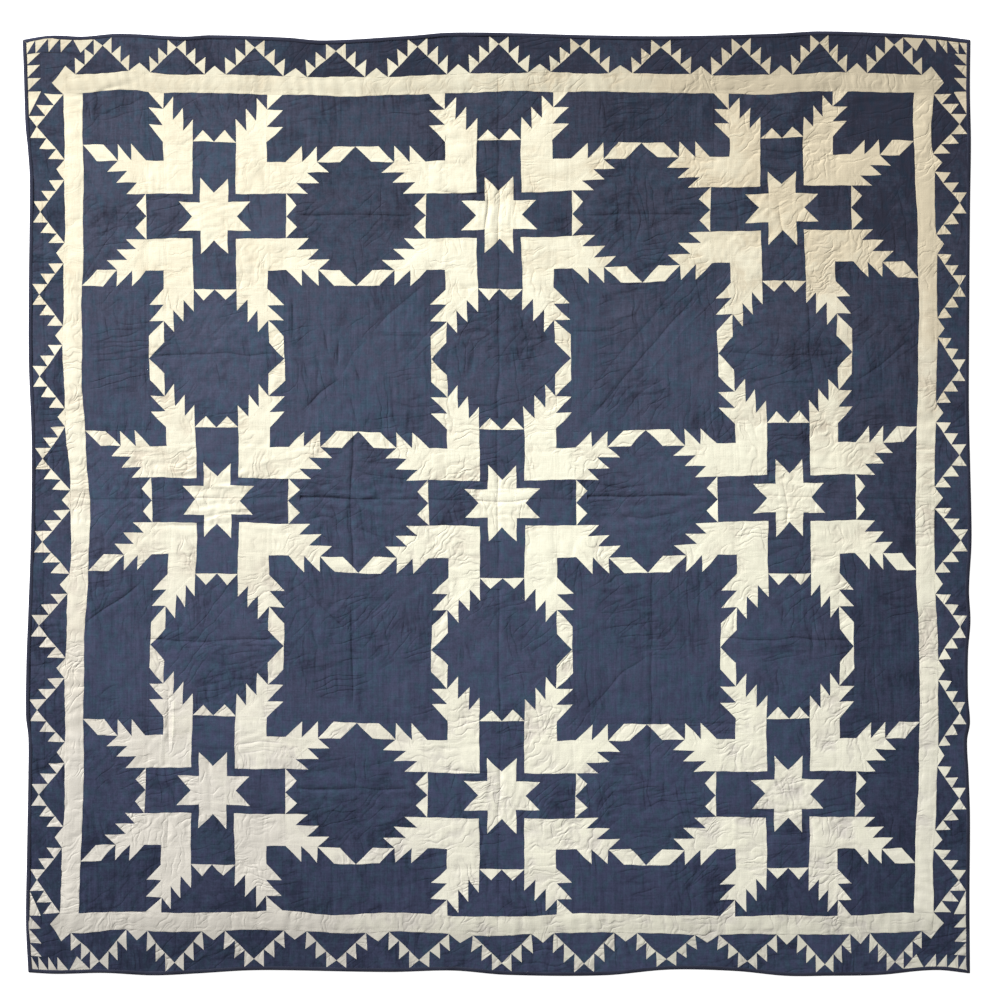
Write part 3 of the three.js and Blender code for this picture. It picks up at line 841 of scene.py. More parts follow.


# White cotton gone cream with age: freshest right of the middle, most aged at head right and foot left;
# painted shade darkens it by its seams and in its creases and wrinkles
def whiteFinish(name, endsDarkening=0.0):
    age = whiteAge
    f = Finish(name, 0.88, 0.1)
    bent = f.bent(22, 0.05)
    slubs = f.slubs(26)
    stain = f.noise(9, 3)
    fine = f.noise(70, 3, rough=0.6)
    sideways, upwards, slanting = f.crinkles(age["wrinkles"], age["wrinkleSharp"], bent)
    folds = f.creaseLines(2.4 * mm)
    across = f.split("X")
    up = f.split("Y")
    seam = f.between(f.carried("gap"), 0, 1.8 * mm)
    away = ((across - age["freshSpot"][0]) ** 2 + (up - age["freshSpot"][1]) ** 2) ** 0.5
    ageAndShade = away * age["spread"] + f.between(across * up, 0, 0.5) * 0.5 * age["corners"]
    ageAndShade = ageAndShade + age["least"] + stain * age["stains"] + fine * age["fine"] + slubs * age["slubs"]
    ageAndShade = ageAndShade + f.carried("tone") * age["patchDifference"]
    smooth = f.between(up, 0.3, 0.6) * f.between(across, 0.6, -0.6) * age["smoothCorner"]
    wrinkles = (sideways + upwards + slanting) * (1.1 - smooth)
    # painted shade: darker and more aged by the seams and in the creases and wrinkles, partly their dirt
    ageAndShade = ageAndShade + (1 - seam) * 0.04 + folds * age["creaseShade"] + wrinkles * age["wrinkleShade"]
    warm = 0.5 + up * 0.9 + stain * 0.3
    cream = f.dyed(ageAndShade, age["fresh"], age["agedHead"])
    grey = f.dyed(ageAndShade, age["fresh"], age["agedFoot"])
    # the border mixed towards black along head and foot
    ends = f.between(up, 0.84, 0.87) + f.between(up, -0.84, -0.87)
    f.connect(Base_Color=f.blend(ends * endsDarkening, f.blend(warm, grey, cream), (0.0, 0.0, 0.0)))
    f.bump(slubs * 0.1 + fine * 0.25 - wrinkles - folds * 0.8, 1.0, age["relief"])
    return f.material


# The narrow binding, darker than the patches because it never faded flat
def bindingFinish():
    f = Finish("binding cotton", 0.9, 0.1)
    worn = f.noise(24, 4)
    thread = f.noise(500, 2)
    light = 0.45 + worn * 0.5 + thread * 0.2
    f.connect(Base_Color=f.dyed(light, (22, 23, 36), (52, 56, 76)))
    f.bump(thread, 0.4, 0.5 * mm)
    return f.material


def threadFinish(name, dark, light):
    f = Finish(name, 0.85)
    f.connect(Base_Color=f.dyed(0.5 + f.noise(300, 2) * 0.4, dark, light))
    return f.material


def floorFinish():
    f = Finish("floor", 0.95)
    tone = room["floorTint"]
    f.connect(Base_Color=f.blend(0.5 + f.noise(3, 2) * 0.5, tone, tuple(0.99 * c for c in tone)))
    f.shader.inputs["Emission Color"].default_value = (1, 1, 1, 1)
    f.shader.inputs["Emission Strength"].default_value = room["floorGlow"]
    return f.material


# Camera, lights and floor
def setCamera():
    data = bpy.data.cameras.new("camera")
    data.lens = view["lens"]
    data.sensor_width = view["sensor"]
    data.clip_end = view["farthest"]
    camera = bpy.data.objects.new("camera", data)
    camera.location = (view["aimX"], view["aimY"], view["framed"] * view["lens"] / view["sensor"])
    bpy.context.scene.collection.objects.link(camera)
    bpy.context.scene.camera = camera


def softLight(name, where, size, power):
    data = bpy.data.lights.new(name, "AREA")
    data.shape = "DISK"
    data.size = size
    data.energy = power
    light = bpy.data.objects.new(name, data)
    light.location = where
    reach = math.hypot(where[0], where[1])
    light.rotation_euler = (0, math.atan2(reach, where[2]), math.atan2(where[1], where[0]))
    bpy.context.scene.collection.objects.link(light)


def layFloor():
    half = room["floorHalf"]
    mesh = bpy.data.meshes.new("floor")
    lower = -0.2 * mm
    points = [(-half, -half, lower), (half, -half, lower), (half, half, lower), (-half, half, lower)]
    mesh.from_pydata(points, [], [(0, 1, 2, 3)])
    mesh.materials.append(floorFinish())
    floor = bpy.data.objects.new("floor", mesh)
    bpy.context.scene.collection.objects.link(floor)


def lightRoom():
    world = bpy.data.worlds.new("room")
    world.use_nodes = True
    world.node_tree.nodes["Background"].inputs[0].default_value = (*room["skyTint"], 1)
    world.node_tree.nodes["Background"].inputs[1].default_value = room["skyStrength"]
    bpy.context.scene.world = world
    bpy.context.scene.view_settings.view_transform = "Standard"
    softLight("key", room["keyPlace"], room["keySize"], room["keyPower"])
    softLight("fill", room["fillPlace"], room["fillSize"], room["fillPower"])


setCamera()
lightRoom()
layFloor()
print("camera, lights and floor set")


# Copies of one patch of a star's block: as it is, in quarter turns, mirrored over both axes,
# or mirrored and swapped over the diagonal as well
def copies(corners, way):
    corners = np.array(corners, float)
    turns = {"once": [np.eye(2)]}
    quarter = np.array([[0.0, -1.0], [1.0, 0.0]])
    turns["turned"] = [np.linalg.matrix_power(quarter, k) for k in range(4)]
    turns["mirrored"] = [np.diag([a, b]) for a in (1.0, -1.0) for b in (1.0, -1.0)]
    swap = np.array([[0.0, 1.0], [1.0, 0.0]])
    turns["eight"] = turns["mirrored"] + [m @ swap for m in turns["mirrored"]]
    return [corners @ turn.T for turn in turns[way]]


# Cuts a patch to the field, one edge of the field after another
def clipToField(corners):
    for axis, limit in ((0, fieldU), (1, fieldV)):
        for way in (1, -1):
            depth = limit - way * corners[:, axis]
            if depth.min() >= -1e-9:
                continue
            kept = []
            for k in range(len(corners)):
                here, there = corners[k - 1], corners[k]
                a, b = depth[k - 1], depth[k]
                if (a > 1e-9) != (b > 1e-9):
                    kept.append(here + (there - here) * a / (a - b))
                if b > 1e-9:
                    kept.append(there)
            if len(kept) < 3:
                return None
            corners = np.array(kept)
    return corners


def signedArea(corners):
    after = np.roll(corners, -1, axis=0)
    return 0.5 * np.sum(corners[:, 0] * after[:, 1] - after[:, 0] * corners[:, 1])


# Turns all patches the same way round, cuts them to the field and sorts them by their number of corners
def sortPatches(patches, clip=True):
    groups = {}
    for corners in patches:
        corners = np.array(corners, float)
        if clip:
            corners = clipToField(corners)
        if corners is None or abs(signedArea(corners)) < 40 * mm * mm:
            continue
        if signedArea(corners) < 0:
            corners = corners[::-1]
        groups.setdefault(len(corners), []).append(corners)
    return {sides: np.array(group) for sides, group in groups.items()}


starMiddles = [(i * pitch, j * pitch) for j in (1, 0, -1) for i in (-1, 0, 1)]


def onStars(*shapes):
    block = [corners for shape, way in shapes for corners in copies(shape, way)]
    return [corners + np.array(middle) for middle in starMiddles for corners in block]


def rectangle(u0, v0, u1, v1):
    return [(u0, v0), (u1, v0), (u1, v1), (u0, v1)]


notch, tip, heart = cut["starNotch"], cut["starTip"], cut["starHeart"]


# A feather of the slanting rows along the on-point fields, k from the cross outwards
def slantCorners(k):
    step = 2 * featherSide / 3
    near = np.array((crossArm + step * k, crossHalf + step * k))
    return near, near + (crossHalf, 0), near + (step, step), near + (step + crossHalf, step)


def slantWhite(k):
    return slantCorners(k)[:3]


def slantBlue(k):
    nearEnd, far, farEnd = slantCorners(k)[1:]
    return [nearEnd, farEnd, far]


def squares():
    half = np.array(rectangle(-crossArm, -crossArm, crossArm, crossArm))
    spots = [(i * halfPitch, j * halfPitch) for i in (-3, -1, 1, 3) for j in (-3, -1, 1, 3)]
    return [half + np.array(spot) for spot in spots]


def onPointFields():
    waist = crossHalf / 2
    inner = crossArm + waist - halfPitch
    upper = [(-inner, waist), (0, squareStart), (inner, waist)]
    lower = [(inner, -waist), (0, -squareStart), (-inner, -waist)]
    shape = np.array(upper + lower)
    found = []
    for j in (-1, 0, 1):
        for i in (-3, -1, 1, 3):
            found.append(shape + np.array((i * halfPitch, j * pitch)))
            found.append(shape[:, ::-1] + np.array((j * pitch, i * halfPitch)))
    return found


# Distance from each web point to the nearest edge of its own patch
def seamGap(points, corners):
    nearest = np.full(points.shape[:2], np.inf)
    for k in range(corners.shape[1]):
        a = corners[:, k][:, None]
        b = corners[:, (k + 1) % corners.shape[1]][:, None]
        run = b - a
        share = np.sum((points - a) * run, axis=-1) / np.sum(run * run, axis=-1)
        off = points - a - np.clip(share, 0, 1)[..., None] * run
        nearest = np.minimum(nearest, np.sqrt(np.sum(off * off, axis=-1)))
    return nearest


# Patches of one kind as one mesh: each a crowned top on its web, with sides and an underside
def sewPatches(name, groups, square=False):
    look = patchLooks[name]
    spacing = look["spacing"]
    heap = Heap()
    rng = np.random.default_rng(look["seed"])
    for sides, corners in sorted(groups.items()):
        if square and sides == 4:
            length = np.linalg.norm(corners[:, 1] - corners[:, 0], axis=1)
            width = np.linalg.norm(corners[:, 2] - corners[:, 1], axis=1)
            shapes = np.round(np.stack([length, width], axis=1), 4)
        else:
            middle = corners.mean(axis=1, keepdims=True)
            inner = seamGap(middle, corners)
            shapes = np.round(np.stack([inner[:, 0], inner[:, 0] * 0], axis=1) / 0.006) * 0.006
        for shape in np.unique(shapes, axis=0):
            same = corners[np.all(shapes == shape, axis=1)]
            if square and sides == 4:
                web = rectangleWeb(seamSteps(shape[0], spacing), seamSteps(shape[1], spacing))
            else:
                steps = seamSteps(2 * max(shape[0], 5 * mm), spacing)
                steps = np.unique(np.round(np.abs(2 * steps - 1), 6))
                steps[0] = 0
                web = kiteWeb(sides, steps)
            addPatches(heap, same, web, look, rng)
    piece = heap.build(name, look["finish"])
    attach(piece, "root")
    patchPieces.append(piece)
    if look["quilted"]:
        quiltAlong(groups, look)


def addPatches(heap, corners, web, look, rng):
    weights, faces, rim = web
    points = np.einsum("pk,ckd->cpd", weights, corners)
    gap = seamGap(points, corners)
    x, y = place(points[..., 0], points[..., 1])
    folds = foldsAt(x, y)
    z = patchHeight(points[..., 0], points[..., 1], x, y, gap, look, folds)
    tops = np.stack([x, y, z], axis=-1)
    lows = tops[:, rim].copy()
    lows[..., 2] = puff["under"]
    count, each = tops.shape[:2]
    ring = len(rim)
    block = np.concatenate([tops, lows], axis=1)
    starts = (np.arange(count) * (each + ring))[:, None, None]
    low = each + np.arange(ring)
    walls = np.stack([low, np.roll(low, -1), np.roll(rim, -1), rim], axis=-1)
    under = low[::-1][None]
    tone = np.repeat(rng.uniform(-1, 1, count), each + ring)
    gaps = np.concatenate([gap, np.zeros((count, ring))], axis=1)
    carried = {}
    for key, mark in creaseMarks(folds).items():
        carried[key] = np.concatenate([mark, np.zeros((count, ring))], axis=1)
    parts = [(part[None] + starts).reshape(-1, part.shape[1]) for part in (faces, walls, under)]
    heap.add(block, parts, [True, False, False], tone=tone, gap=gaps, **carried)


# Running stitches of the quilting, a little inside each patch's seams, and the binding's hem stitches
stitch = {
    "pitch": 6.4 * mm,
    "long": 3.4 * mm,
    "thick": 0.6 * mm,
    "rise": 0.3 * mm,
    "hemPitch": 6.0 * mm,
    "hemInset": 8.3 * mm,
    "hemLevel": 5.15 * mm,
}
threadHeaps = {"white_cotton": Heap(), "indigo_cotton": Heap(), "binding_cotton": Heap()}


# Dashes along lines of the plan, each a thin double-pointed grain that dips into the cloth at both ends
def runningStitches(heap, lines, pitch, levelAt):
    dashes = []
    for start, end in lines:
        start, end = np.array(start, float), np.array(end, float)
        length = math.hypot(*(end - start))
        spots = (np.arange(int(length / pitch)) + 0.5)[:, None] / max(int(length / pitch), 1)
        half = stitch["long"] / 2 / length
        dashes.append(np.stack([start + (end - start) * (spots + part) for part in (-half, 0, half)]))
    u, v = np.moveaxis(np.concatenate(dashes, axis=1), 2, 0)
    count = u.shape[1]
    x, y = place(u, v)
    z = levelAt(u[1], v[1], x[1], y[1])
    sideX, sideY = y[2] - y[0], x[0] - x[2]
    reach = stitch["thick"] / 2 / np.hypot(sideX, sideY)
    tail = np.stack([x[0], y[0], z - stitch["rise"]], axis=-1)
    nose = np.stack([x[2], y[2], z - stitch["rise"]], axis=-1)
    right = np.stack([x[1] + sideX * reach, y[1] + sideY * reach, z], axis=-1)
    left = np.stack([x[1] - sideX * reach, y[1] - sideY * reach, z], axis=-1)
    crest = np.stack([x[1], y[1], z + stitch["rise"]], axis=-1)
    under = np.stack([x[1], y[1], z - 1.4 * stitch["rise"]], axis=-1)
    points = np.stack([tail, nose, right, left, crest, under], axis=1)
    sides = np.array([(0, 2, 4), (2, 1, 4), (1, 3, 4), (3, 0, 4), (2, 0, 5), (1, 2, 5), (3, 1, 5), (0, 3, 5)])
    faces = (sides[None] + 6 * np.arange(count)[:, None, None]).reshape(-1, 3)
    heap.add(points, [faces], [True])


# Each patch's corners moved inwards by the same distance from both their edges
def insetCorners(corners, inset):
    run = np.roll(corners, -1, axis=0) - corners
    normal = np.stack([-run[:, 1], run[:, 0]], axis=1) / np.hypot(run[:, 0], run[:, 1])[:, None]
    before = np.roll(normal, 1, axis=0)
    turn = 1 + np.sum(normal * before, axis=1)
    return corners + inset * (normal + before) / turn[:, None]


def quiltAlong(groups, look):
    inset = puff["quiltInset"]

    def levelAt(u, v, x, y):
        return patchHeight(u, v, x, y, np.full(u.shape, inset), look, foldsAt(x, y))

    lines = []
    for group in groups.values():
        for corners in group:
            inner = insetCorners(corners, inset)
            after = np.roll(inner, -1, axis=0)
            kept = np.sum((after - inner) * (np.roll(corners, -1, axis=0) - corners), axis=1)
            if kept.min() > 0:
                lines += zip(inner, after)
    runningStitches(threadHeaps[look["slot"]], lines, stitch["pitch"], levelAt)


indigoPlain = indigoFinish("indigo cotton", 0.22, 0.12, 0.09)
indigoCloudy = indigoFinish("indigo cotton, cloudy", 0.32, 0.1, 0.09, 0.02)
indigoStreaked = indigoFinish("indigo cotton, streaked", 0.18, 0.26, 0.08, 0.04)
# the border's last two numbers are its painted falloff of the light to the right and to the foot
indigoBorder = indigoFinish("indigo cotton, border", 0.32, 0.12, 0.09, 0.16, 0.06, 0.0)
whitePlain = whiteFinish("white cotton")
whiteBorder = whiteFinish("white cotton, border", whiteAge["borderEnds"])
bindingCotton = bindingFinish()
whiteThread = threadFinish("white thread", (196, 190, 168), (232, 228, 208))
indigoThread = threadFinish("indigo thread", (36, 42, 58), (84, 92, 112))
print("finishes mixed")

# How each kind of patch is sewn: how high it swells, how close its web is, and whether it is quilted
patchLooks = {
    "indigo_squares": {"crown": 0.3 * mm, "spacing": 4.8 * mm, "quilted": 1.0, "seed": 2},
    "indigo_fields": {"crown": 0.2 * mm, "spacing": 5 * mm, "quilted": 1.0, "seed": 3},
    "indigo_cross_arms": {"crown": 0.16 * mm, "spacing": 5.5 * mm, "quilted": 1.0, "seed": 4},
    "indigo_feathers": {"crown": 0.06 * mm, "spacing": 6 * mm, "quilted": 0.0, "seed": 5},
    "white_stars": {"crown": 0.12 * mm, "spacing": 4.5 * mm, "quilted": 1.0, "seed": 6},
    "white_blocks": {"crown": 0.14 * mm, "spacing": 5 * mm, "quilted": 1.0, "seed": 7},
    "white_wings": {"crown": 0.14 * mm, "spacing": 5 * mm, "quilted": 1.0, "seed": 8},
    "white_feathers": {"crown": 0.06 * mm, "spacing": 6 * mm, "quilted": 0.0, "seed": 9},
    "white_strips": {"crown": 0.5 * mm, "spacing": 5.5 * mm, "quilted": 1.0, "seed": 10},
    "border_triangles": {"crown": 0.2 * mm, "spacing": 5.5 * mm, "quilted": 1.0, "seed": 11},
    "border_ground": {"crown": 0.06 * mm, "spacing": 6 * mm, "quilted": 0.0, "seed": 12},
    "border_teeth": {"crown": 0.08 * mm, "spacing": 6 * mm, "quilted": 0.0, "seed": 13},
}
finishes = {
    "indigo_squares": indigoStreaked,
    "indigo_fields": indigoCloudy,
    "border_triangles": indigoBorder,
    "border_ground": indigoBorder,
    "white_strips": whiteBorder,
    "border_teeth": whiteBorder,
}
for name, look in patchLooks.items():
    white = name.startswith("white") or name == "border_teeth"
    look["slot"] = "white_cotton" if white else "indigo_cotton"
    look["finish"] = finishes.get(name, whitePlain if white else indigoPlain)

patchPieces = []
sewPatches("indigo_squares", sortPatches(squares()), square=True)
sewPatches("indigo_fields", sortPatches(onPointFields()))
print("large patches sewn")

crossParts = onStars(
    (rectangle(tip, -crossHalf, crossArm, crossHalf), "turned"),
    (rectangle(heart, heart, tip, crossHalf), "mirrored"),
    (rectangle(heart, crossHalf, crossHalf, tip), "mirrored"),
)
sewPatches("indigo_cross_arms", sortPatches(crossParts), square=True)

waist = crossHalf / 2
featherNext = crossArm + featherSide
smallBlue = onStars(
    *[(slantBlue(k), "eight") for k in range(3)],
    ([(crossArm, crossHalf), (crossArm + waist, waist), (crossArm + crossHalf, crossHalf)], "eight"),
    ([(crossArm, 0), (crossArm + waist, waist), (crossArm + waist, -waist)], "turned"),
    (rectangle(elbow, elbow, squareStart, squareStart), "mirrored"),
    ([(squareStart, elbow), (crossArm, elbow), (featherNext, squareStart), (squareStart, squareStart)],
     "eight"),
    ([(featherNext, elbow), (featherEnd, squareStart), (featherNext, squareStart)], "eight"),
    ([(featherEnd, elbow), (featherEnd + featherSide, squareStart), (featherEnd, squareStart)], "eight"),
    ([(notch, 0), (tip, heart), (tip, -heart)], "turned"),
)
sewPatches("indigo_feathers", sortPatches(smallBlue))

stars = onStars(
    (rectangle(-heart, -heart, heart, heart), "once"),
    ([(heart, 0), (notch, 0), (tip, heart), (heart, heart)], "eight"),
)
sewPatches("white_stars", sortPatches(stars))

whiteBlocks = onStars(
    (rectangle(crossHalf, crossHalf, elbow, elbow), "mirrored"),
    (rectangle(elbow, crossHalf, crossArm, elbow), "eight"),
)
sewPatches("white_blocks", sortPatches(whiteBlocks), square=True)

farWing = [(featherEnd, elbow), (featherEnd + crossHalf, elbow), (halfPitch, squareStart)]
whiteWings = onStars(
    ([(crossArm, crossHalf), (featherEnd, elbow), (crossArm, elbow)], "eight"),
    (farWing + [(featherEnd + featherSide, squareStart)], "eight"),
)
sewPatches("white_wings", sortPatches(whiteWings))

whiteFeathers = onStars(
    *[(slantWhite(k), "eight") for k in range(3)],
    ([(crossArm, elbow), (featherNext, elbow), (featherNext, squareStart)], "eight"),
    ([(featherNext, elbow), (featherEnd, elbow), (featherEnd, squareStart)], "eight"),
    ([(crossArm, 0), (crossArm, crossHalf), (crossArm + waist, waist)], "eight"),
)
sewPatches("white_feathers", sortPatches(whiteFeathers))
print("stars sewn")

# The white strip round the field; head and foot run to the corners
stripU = fieldU + cut["stripWidth"]
stripV = fieldV + cut["stripWidth"]
strips = [rectangle(-stripU, fieldV, stripU, stripV), rectangle(-stripU, -stripV, stripU, -fieldV)]
strips += [rectangle(fieldU, -fieldV, stripU, fieldV), rectangle(-stripU, -fieldV, -fieldU, fieldV)]
sewPatches("white_strips", sortPatches(strips, clip=False), square=True)

# The sawtooth border, from the strip outwards, in metres along a side and away from the strip
border = {
    "lip": 69.5 * mm,  # the patches end just under the binding
    "reach": 68 * mm,
    "apex": 53 * mm,
    "peakRise": 17 * mm,
    "headCount": 11,
    "headHalfBase": 0.36,  # as a share of the pitch
    "sideCount": 10,
    "sideFirst": 108.6 * mm,
    "sideHalfBase": 66.7 * mm,
}

# The corner's places, from the strip's outer corner: first inwards along the head, then outwards
corner = {
    "unit": 25 * mm,  # the small teeth along the edge
    "headStarts": [-68 * mm, -51 * mm, -28 * mm, -6 * mm, 19 * mm],
    "sideStarts": [43 * mm, 19 * mm, -8 * mm, -36 * mm],
    "headTip": (3 * mm, 15 * mm),
    "sideTip": (-22 * mm, -17 * mm),
    "peakFoot": (24 * mm, 0),
    "sideFoot": (0, -41 * mm),
}


# Points on the line from one point to another at thirds, both ends kept
def thirds(start, end):
    share = np.linspace(0, 1, 4)[:, None]
    return [tuple(point) for point in np.array(start) * (1 - share) + np.array(end) * share]


# Big triangles, their teeth, the peaks between them and the ground outside, along one side.
# Positions are (along, out) from the strip's outer corner. The teeth of both end triangles end at endTip.
def sideBorder(length, first, spacing, count, halfBase, endTip):
    parts = {"big": [], "teeth": [], "units": [], "peaks": [], "ground": []}
    apexOut = border["apex"]
    step = halfBase / 3
    for i in range(count):
        apex = first + spacing * i
        parts["big"].append([(apex - halfBase, 0), (apex + halfBase, 0), (apex, apexOut)])
        for way in (-1, 1):
            flank = thirds((apex, apexOut), (apex + way * halfBase, 0))
            foot = (apex + way * spacing / 2, border["peakRise"])
            if i == 0 and way == -1:
                foot = endTip
            if i == count - 1 and way == 1:
                foot = (length - endTip[0], endTip[1])
            outer = thirds((apex + way * step, border["reach"]), foot)
            for k in range(3):
                parts["teeth"].append([flank[k], flank[k + 1], outer[k]])
                parts["units"].append([flank[k + 1], outer[k + 1], outer[k]])
        lip = border["lip"]
        shoulders = [(apex + step, border["reach"]), (apex + step, lip), (apex - step, lip)]
        parts["ground"].append([(apex, apexOut)] + shoulders + [(apex - step, border["reach"])])
        if i < count - 1:
            middle = (apex + spacing / 2, border["peakRise"])
            parts["peaks"].append([(apex + halfBase, 0), (apex + spacing - halfBase, 0), middle])
            near, far = apex + step, apex + spacing - step
            reach = border["reach"]
            parts["ground"].append([(near, reach), middle, (far, reach), (far, lip), (near, lip)])
    return parts


# Turns (along, out) into the plan on each of the four sides
def onSide(shape, side):
    shape = np.array(shape, float)
    along, out = shape[:, 0], shape[:, 1]
    if side == "head":
        return np.stack([along - stripU, stripV + out], axis=1)
    if side == "foot":
        return np.stack([along - stripU, -stripV - out], axis=1)
    if side == "left":
        return np.stack([-stripU - out, stripV - along], axis=1)
    return np.stack([stripU + out, stripV - along], axis=1)


headSpacing = 2 * stripU / border["headCount"]
headHalfBase = border["headHalfBase"] * headSpacing
sideSpacing = (2 * stripV - 2 * border["sideFirst"]) / (border["sideCount"] - 1)
headEndTip = corner["headTip"]
sideEndTip = (-corner["sideTip"][1], -corner["sideTip"][0])
borderParts = {"big": [], "teeth": [], "units": [], "peaks": [], "ground": []}
for side in ("head", "foot", "left", "right"):
    if side in ("head", "foot"):
        sizes = (2 * stripU, headSpacing / 2, headSpacing, border["headCount"], headHalfBase, headEndTip)
    else:
        sizes = (2 * stripV, border["sideFirst"], sideSpacing, border["sideCount"])
        sizes += (border["sideHalfBase"], sideEndTip)
    for kind, shapes in sideBorder(*sizes).items():
        borderParts[kind] += [onSide(shape, side) for shape in shapes]


def cornerParts():
    reach, lip, unit = border["reach"], border["lip"], corner["unit"]
    inner = reach - unit
    headEnd = headSpacing / 2 - headHalfBase / 3
    sideEnd = border["sideHalfBase"] / 3 - border["sideFirst"]
    headTip, sideTip = corner["headTip"], corner["sideTip"]
    middle = ((headTip[0] + sideTip[0]) / 2, (headTip[1] + sideTip[1]) / 2)
    whites = [[(0, 0), corner["peakFoot"], headTip, middle], [(0, 0), middle, sideTip, corner["sideFoot"]]]
    headInner = headEnd - (headEnd - headTip[0]) * unit / (reach - headTip[1])
    sideInner = sideEnd + (sideTip[1] - sideEnd) * unit / (reach + sideTip[0])
    blues = [[headTip, (headInner, inner), (-inner, inner), (-inner, sideInner), sideTip]]
    starts = corner["headStarts"]
    whites.append([(-lip, lip), (starts[1], lip), (-reach, inner), (-lip, inner)])
    blues.append([(starts[1], lip), (starts[1], inner), (-reach, inner)])
    for k in range(1, 4):
        a, b = starts[k], starts[k + 1]
        whites.append([(a, lip), (b, lip), (a, inner)])
        blues.append([(b, lip), (b, inner), (a, inner)])
    whites.append([(starts[4], lip), (headEnd, lip), (headEnd, reach), (headInner, inner)])
    blues.append([(starts[4], lip), (headInner, inner), (starts[4], inner)])
    downs = corner["sideStarts"]
    for k in range(3):
        a, b = downs[k], downs[k + 1]
        whites.append([(-lip, a), (-inner, a), (-lip, b)])
        blues.append([(-inner, a), (-inner, b), (-lip, b)])
    whites.append([(-lip, downs[3]), (-inner, downs[3]), (-reach, sideEnd), (-lip, sideEnd)])
    blues.append([(-inner, downs[3]), (-inner, sideInner), (-reach, sideEnd)])
    return whites, blues


def onCorner(shape, wayU, wayV):
    shape = np.array(shape, float)
    return np.stack([wayU * (stripU - shape[:, 0]), wayV * (stripV + shape[:, 1])], axis=1)


cornerWhites, cornerBlues = cornerParts()
corners = [(a, b) for a in (-1, 1) for b in (-1, 1)]
borderParts["teeth"] += [onCorner(shape, a, b) for shape in cornerWhites for a, b in corners]
borderParts["units"] += [onCorner(shape, a, b) for shape in cornerBlues for a, b in corners]


for name, parts in (
    ("border_triangles", borderParts["big"]),
    ("border_ground", borderParts["ground"] + borderParts["units"]),
    ("border_teeth", borderParts["teeth"] + borderParts["peaks"]),
):
    sewPatches(name, sortPatches(parts, clip=False))
print("border sewn")

# The sheet that carries the patches: wadding and backing, thinner where the binding wraps it
sheet = {
    "top": 2.2 * mm,
    "rimTop": 3.9 * mm,
    "rimUnder": 1.1 * mm,
    "bindingWidth": 8 * mm,
    "edgeInset": 1.1 * mm,
    "spacing": 30 * mm,
}


def sheetLines(outerHalf):
    edge = np.array([sheet["edgeInset"], sheet["bindingWidth"] - 0.2 * mm, sheet["bindingWidth"] + 0.4 * mm])
    inner = outerHalf - edge[-1]
    count = int(round(2 * inner / sheet["spacing"]))
    middle = np.linspace(-inner, inner, count + 1)
    return np.concatenate([edge[:-1] - outerHalf, middle, (outerHalf - edge[:-1])[::-1]])


def layeredSheet():
    linesU = sheetLines(outerU)
    linesV = sheetLines(outerV)
    u, v = np.meshgrid(linesU, linesV, indexing="ij")
    x, y = place(u, v)
    inset = np.minimum(outerU - np.abs(u), outerV - np.abs(v))
    bound = inset < sheet["bindingWidth"]
    top = np.where(bound, sheet["rimTop"], sheet["top"])
    under = np.where(bound, sheet["rimUnder"], 0.0)
    size = u.size
    index = np.arange(size).reshape(u.shape)
    quads, rim = webFaces(index), webRim(index)
    walls = np.stack([rim + size, np.roll(rim, -1) + size, np.roll(rim, -1), rim], axis=-1)
    points = np.stack([np.stack([x, y, top], axis=-1), np.stack([x, y, under], axis=-1)])
    heap = Heap()
    heap.add(points, [quads, quads[:, ::-1] + size, walls], [True, True, False])
    return heap.build("quilted_sheet", whitePlain)


backing = layeredSheet()
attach(backing, "root")
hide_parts("quilted_cloth")

# The binding: a strip folded over the edge, from its sewn lip on the face round to the underside
bindingForm = {
    "outer": [(8.4, 4.5), (8.3, 5.1), (7.4, 5.5), (5.2, 5.6), (2.8, 5.4), (1.1, 4.8), (0.2, 3.8), (0.0, 2.7),
              (0.2, 1.6), (0.9, 0.7), (2.2, 0.15), (4.5, 0.0), (8.6, 0.0)],
    "inner": [(8.6, 0.7), (4.6, 0.75), (2.4, 0.95), (1.3, 1.5), (0.95, 2.7), (1.2, 3.7), (2.6, 4.4),
              (5.2, 4.6)],
    "step": 7 * mm,
    "mitreGap": 0.3 * mm,
}


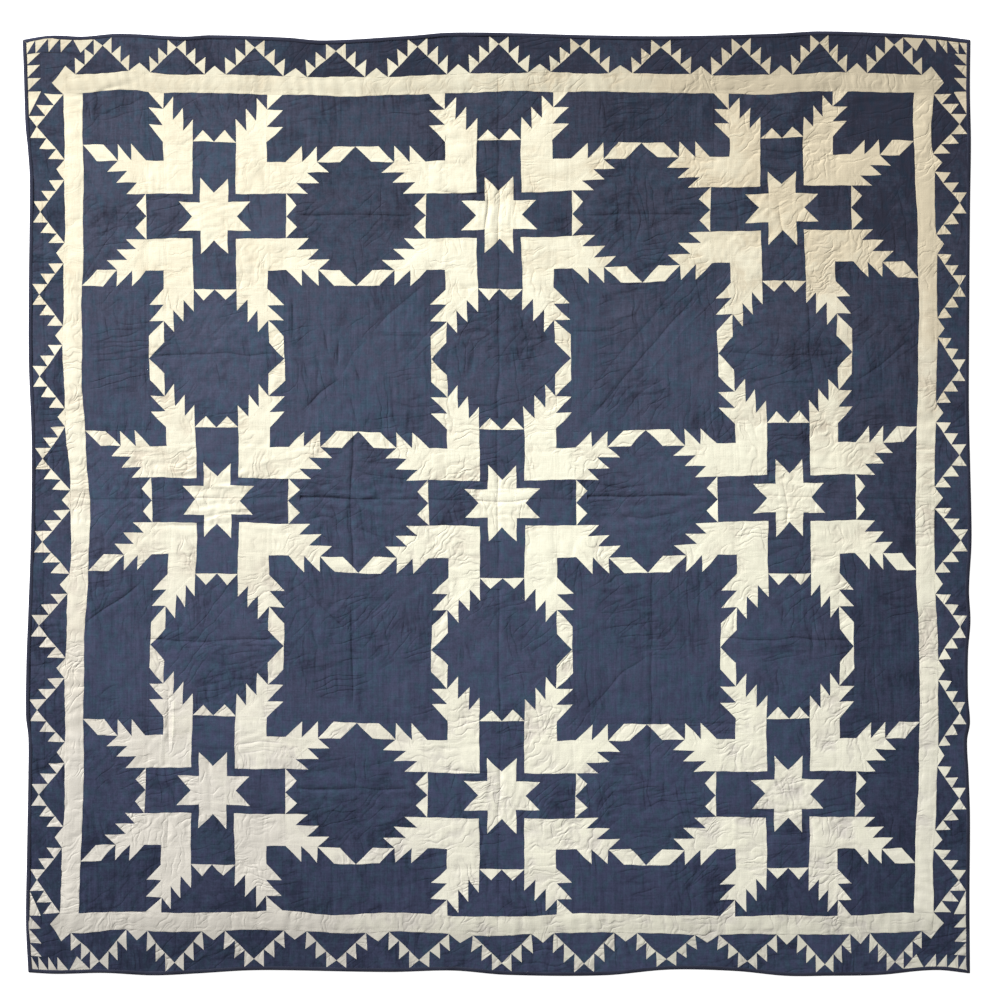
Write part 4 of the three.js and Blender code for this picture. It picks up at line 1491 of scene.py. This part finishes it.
def boundEdge(name, side):
    section = np.array(bindingForm["outer"] + bindingForm["inner"]) * mm
    inset = section[:, 0]
    level = section[:, 1]
    halfLength = outerU if side in ("head", "foot") else outerV
    halfOut = outerV if side in ("head", "foot") else outerU
    count = int(round(2 * halfLength / bindingForm["step"]))
    run = np.linspace(-1, 1, count + 1)[:, None]
    along = run * (halfLength - inset[None] - bindingForm["mitreGap"])
    wobble = 0.45 * mm * unevenness(along + 3.1, 0.7, 28 * mm, 21)
    out = halfOut - inset[None] - np.where(inset > 6 * mm, wobble, 0)
    way = 1 if side in ("head", "right") else -1
    if side in ("head", "foot"):
        u, v = along, way * out
    else:
        u, v = way * out, along
    x, y = place(u, v)
    swell = 0.25 * mm * unevenness(x, y, 16 * mm, 23) * np.clip((level[None] - 4.7 * mm) / (0.6 * mm), 0, 1)
    z = np.broadcast_to(level[None], x.shape) + swell
    points = np.stack([x, y, z], axis=-1)
    ring = len(section)
    index = np.arange(points.shape[0] * ring).reshape(-1, ring)
    around = np.roll(index, -1, axis=1)
    quads = np.stack([index[:-1], index[1:], around[1:], around[:-1]], axis=-1).reshape(-1, 4)
    ends = [index[0][None], index[-1][::-1][None]]
    flip = side in ("foot", "right")
    if flip:
        quads = quads[:, ::-1]
        ends = [end[:, ::-1] for end in ends]
    heap = Heap()
    heap.add(points, [quads] + ends, [True, False, False])
    return heap.build(name, bindingCotton)


bindings = []
for side in ("head", "foot", "left", "right"):
    edge = boundEdge("bound_edge_" + side, side)
    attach(edge, "root")
    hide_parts("binding_" + side)
    bindings.append(edge)
print("sheet and binding made")


def hemLevel(u, v, x, y):
    return np.full(u.shape, stitch["hemLevel"])


hemU, hemV = outerU - stitch["hemInset"], outerV - stitch["hemInset"]
hemCorners = rectangle(-hemU, -hemV, hemU, hemV)
hemLines = list(zip(hemCorners, hemCorners[1:] + hemCorners[:1]))
runningStitches(threadHeaps["binding_cotton"], hemLines, stitch["hemPitch"], hemLevel)
threads = (
    ("quilting_white", "white_cotton", whiteThread),
    ("quilting_indigo", "indigo_cotton", indigoThread),
    ("hem_stitches", "binding_cotton", indigoThread),
)
for name, slot, finish in threads:
    piece = threadHeaps[slot].build(name, finish)
    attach(piece, "root")
    patchPieces.append(piece)
print("stitches sewn")

for piece in patchPieces + bindings + [backing]:
    piece.data.calc_loop_triangles()
    print(piece.name, len(piece.data.loop_triangles))
